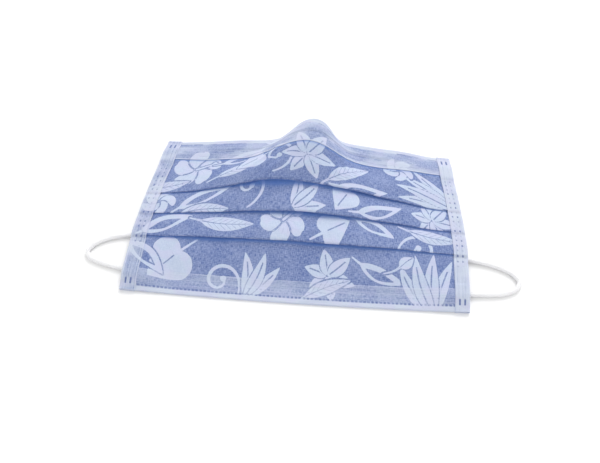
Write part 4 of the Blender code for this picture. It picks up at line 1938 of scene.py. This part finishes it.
@dataclass(frozen=True)
class PaleStrip:
    """Thin white nonwoven welded over the print, which shows through it."""

    name: str
    cloth: PrintedCloth
    veil: float
    edge_veil: float = 0.93
    edge_width: float = 2.3
    veil_colour: Colour = Colour(208, 217, 237)
    pressed_colour: Colour = Colour(92, 110, 168)
    streaks: float = 0.5
    patches: float = 0.3
    streak_scale: tuple[float, float] = (0.05, 1.6)
    border: float = 14.5
    border_shows: float = 0.9
    painted_light_right: float = 0.0
    roughness: float = 0.88

    def make(self) -> bpy.types.Material:
        """Make the strip's material.

        Returns:
            The material.
        """
        nodes = Nodes(self.name)
        long_streaks = nodes.noise(*self.streak_scale, detail=4.0)
        weld = nodes.mark("weld")
        from_edge = nodes.axis("X" if self.streak_scale[0] > self.streak_scale[1] else "Y")
        at_edge = 1 - from_edge.eased(self.edge_width - 0.3, self.edge_width + 0.5)
        # Painted highlight: the strip is made paler in a thin line along its inner border, at its
        # cut edge.
        border_highlight = from_edge.eased(self.border - 0.75, self.border - 0.15) * self.border_shows
        patches = nodes.noise(0.045, 0.11, detail=1.0).eased(0.35, 0.65) - 0.5
        veil = self.veil + (long_streaks - 0.5) * self.streaks + patches * self.patches
        # Painted light: the strip is made paler towards its right, where the light falls on it.
        veil = veil + nodes.axis("X").eased(-50.0, 10.0) * self.painted_light_right
        veil = veil + at_edge.larger(border_highlight) * (self.edge_veil - self.veil)
        lining = nodes.mark("lining").eased(0.3, 0.7)
        share = (veil * (1 - weld * 0.95)).larger(lining)
        beneath = nodes.mix(weld * 0.55, self.cloth.printed(nodes), self.pressed_colour)
        veiled = self.cloth.tinted(nodes, self.veil_colour)
        relief = self.cloth.relief(nodes) * 0.6 + long_streaks * 2.0
        nodes.dress(
            Base_Color=nodes.mix(share.eased(0.0, 1.0), beneath, veiled),
            Roughness=self.roughness, Normal=nodes.bump(relief, 0.00012, 0.8), **SOFT_LIGHT,
        )
        return nodes.material


@dataclass(frozen=True)
class KnittedElastic:
    """Soft white round elastic, knitted in fine slanting ribs."""

    bright: Colour = Colour(241, 241, 242)
    shaded: Colour = Colour(234, 234, 237)
    rib_pitch: float = 0.55
    roughness: float = 0.85

    def make(self) -> bpy.types.Material:
        """Make the elastic's material.

        Returns:
            The material.
        """
        nodes = Nodes("knitted_elastic")
        around = abs((nodes.axis("X") * 2.5).sine()) * 0.35
        stitches = ((nodes.axis("Y") * 0.8 + around) * (2 * math.pi / self.rib_pitch)).sine()
        height = stitches * 0.5 + nodes.noise(6.0, 6.0) * 0.8
        nodes.dress(
            Base_Color=nodes.mix(height.eased(-0.3, 0.9), self.shaded, self.bright),
            Roughness=self.roughness, Normal=nodes.bump(height, 0.00005, 0.6),
            Subsurface_Weight=1.0, Subsurface_Scale=0.003, Subsurface_Radius=(1.0, 1.0, 1.0),
        )
        return nodes.material


@dataclass(frozen=True)
class CoatedWire:
    """Flat wire in a smooth white plastic coat."""

    colour: Colour = Colour(228, 230, 232)

    def make(self) -> bpy.types.Material:
        """Make the wire's material.

        Returns:
            The material.
        """
        nodes = Nodes("coated_wire")
        wear = nodes.noise(0.6, 0.6, detail=3.0)
        rough = wear.eased(0.2, 0.8) * 0.2 + 0.35
        nodes.dress(
            Base_Color=self.colour, Roughness=rough, Normal=nodes.bump(wear, 0.00003, 0.5)
        )
        return nodes.material


def dress(piece: bpy.types.Object, material: bpy.types.Material, node: str) -> None:
    """Give a piece its material, smooth shading and body, and hide the frame's node that it
    replaces.

    Args:
        piece: The piece.
        material: Its material.
        node: The frame's node that it replaces.
    """
    piece.data.materials.clear()
    piece.data.materials.append(material)
    make_active(piece)
    bpy.ops.object.shade_smooth_by_angle(angle=math.radians(SMOOTH_BELOW_DEGREES))
    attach(piece, "root")
    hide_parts(node)
    LOG.info("%s: %d faces", piece.name, len(piece.data.polygons))


def main() -> None:
    """Build the mask on its frame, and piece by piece."""
    logging.basicConfig(level=logging.INFO, format="%(message)s")
    for thing in list(bpy.data.objects):
        bpy.data.objects.remove(thing)
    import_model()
    form = MaskForm()
    Studio().build()
    elastic = KnittedElastic().make()
    for side, route in ((Side.LEFT, LEFT_ROUTE), (Side.RIGHT, RIGHT_ROUTE)):
        loop = EarLoop(form, side, route)
        piece = loop.build()
        dress(piece, elastic, loop.node)
        loop.declare()
    cloth = FoldedCloth(form)
    printed = PrintedCloth()
    dress(cloth.build(), printed.make(), "mask_panel")
    nose_finish = PaleStrip("nose_strip", printed, veil=0.46, border=14.5, painted_light_right=0.04)
    chin_finish = PaleStrip(
        "chin_strip", printed, veil=0.40, border=11.5, border_shows=0.25, patches=0.12
    )
    nose_hem = HemStrip(form, cloth, Edge.NOSE)
    chin_hem = HemStrip(form, cloth, Edge.CHIN)
    dress(nose_hem.build(), nose_finish.make(), "top_hem")
    dress(chin_hem.build(), chin_finish.make(), "bottom_hem")
    wire = NoseWire(form, nose_hem).build()
    dress(wire, CoatedWire().make(), "nose_wire")
    # The left binding has a thinner veil, so more print shows through it: partly the strip's own
    # look, partly painted shade on that side.
    for side, width, veil in ((Side.LEFT, 0.0080, 0.62), (Side.RIGHT, 0.0073, 0.92)):
        finish = PaleStrip(
            side.word + "_strip", printed, veil=veil, streaks=0.7, edge_width=0.6,
            border=width * MILLIMETRES, border_shows=0.5, streak_scale=(1.6, 0.05),
        )
        binding = SideBinding(form, cloth, side, width).build()
        dress(binding, finish.make(), "side_binding_" + side.word)


if __name__ == "__main__":
    main()
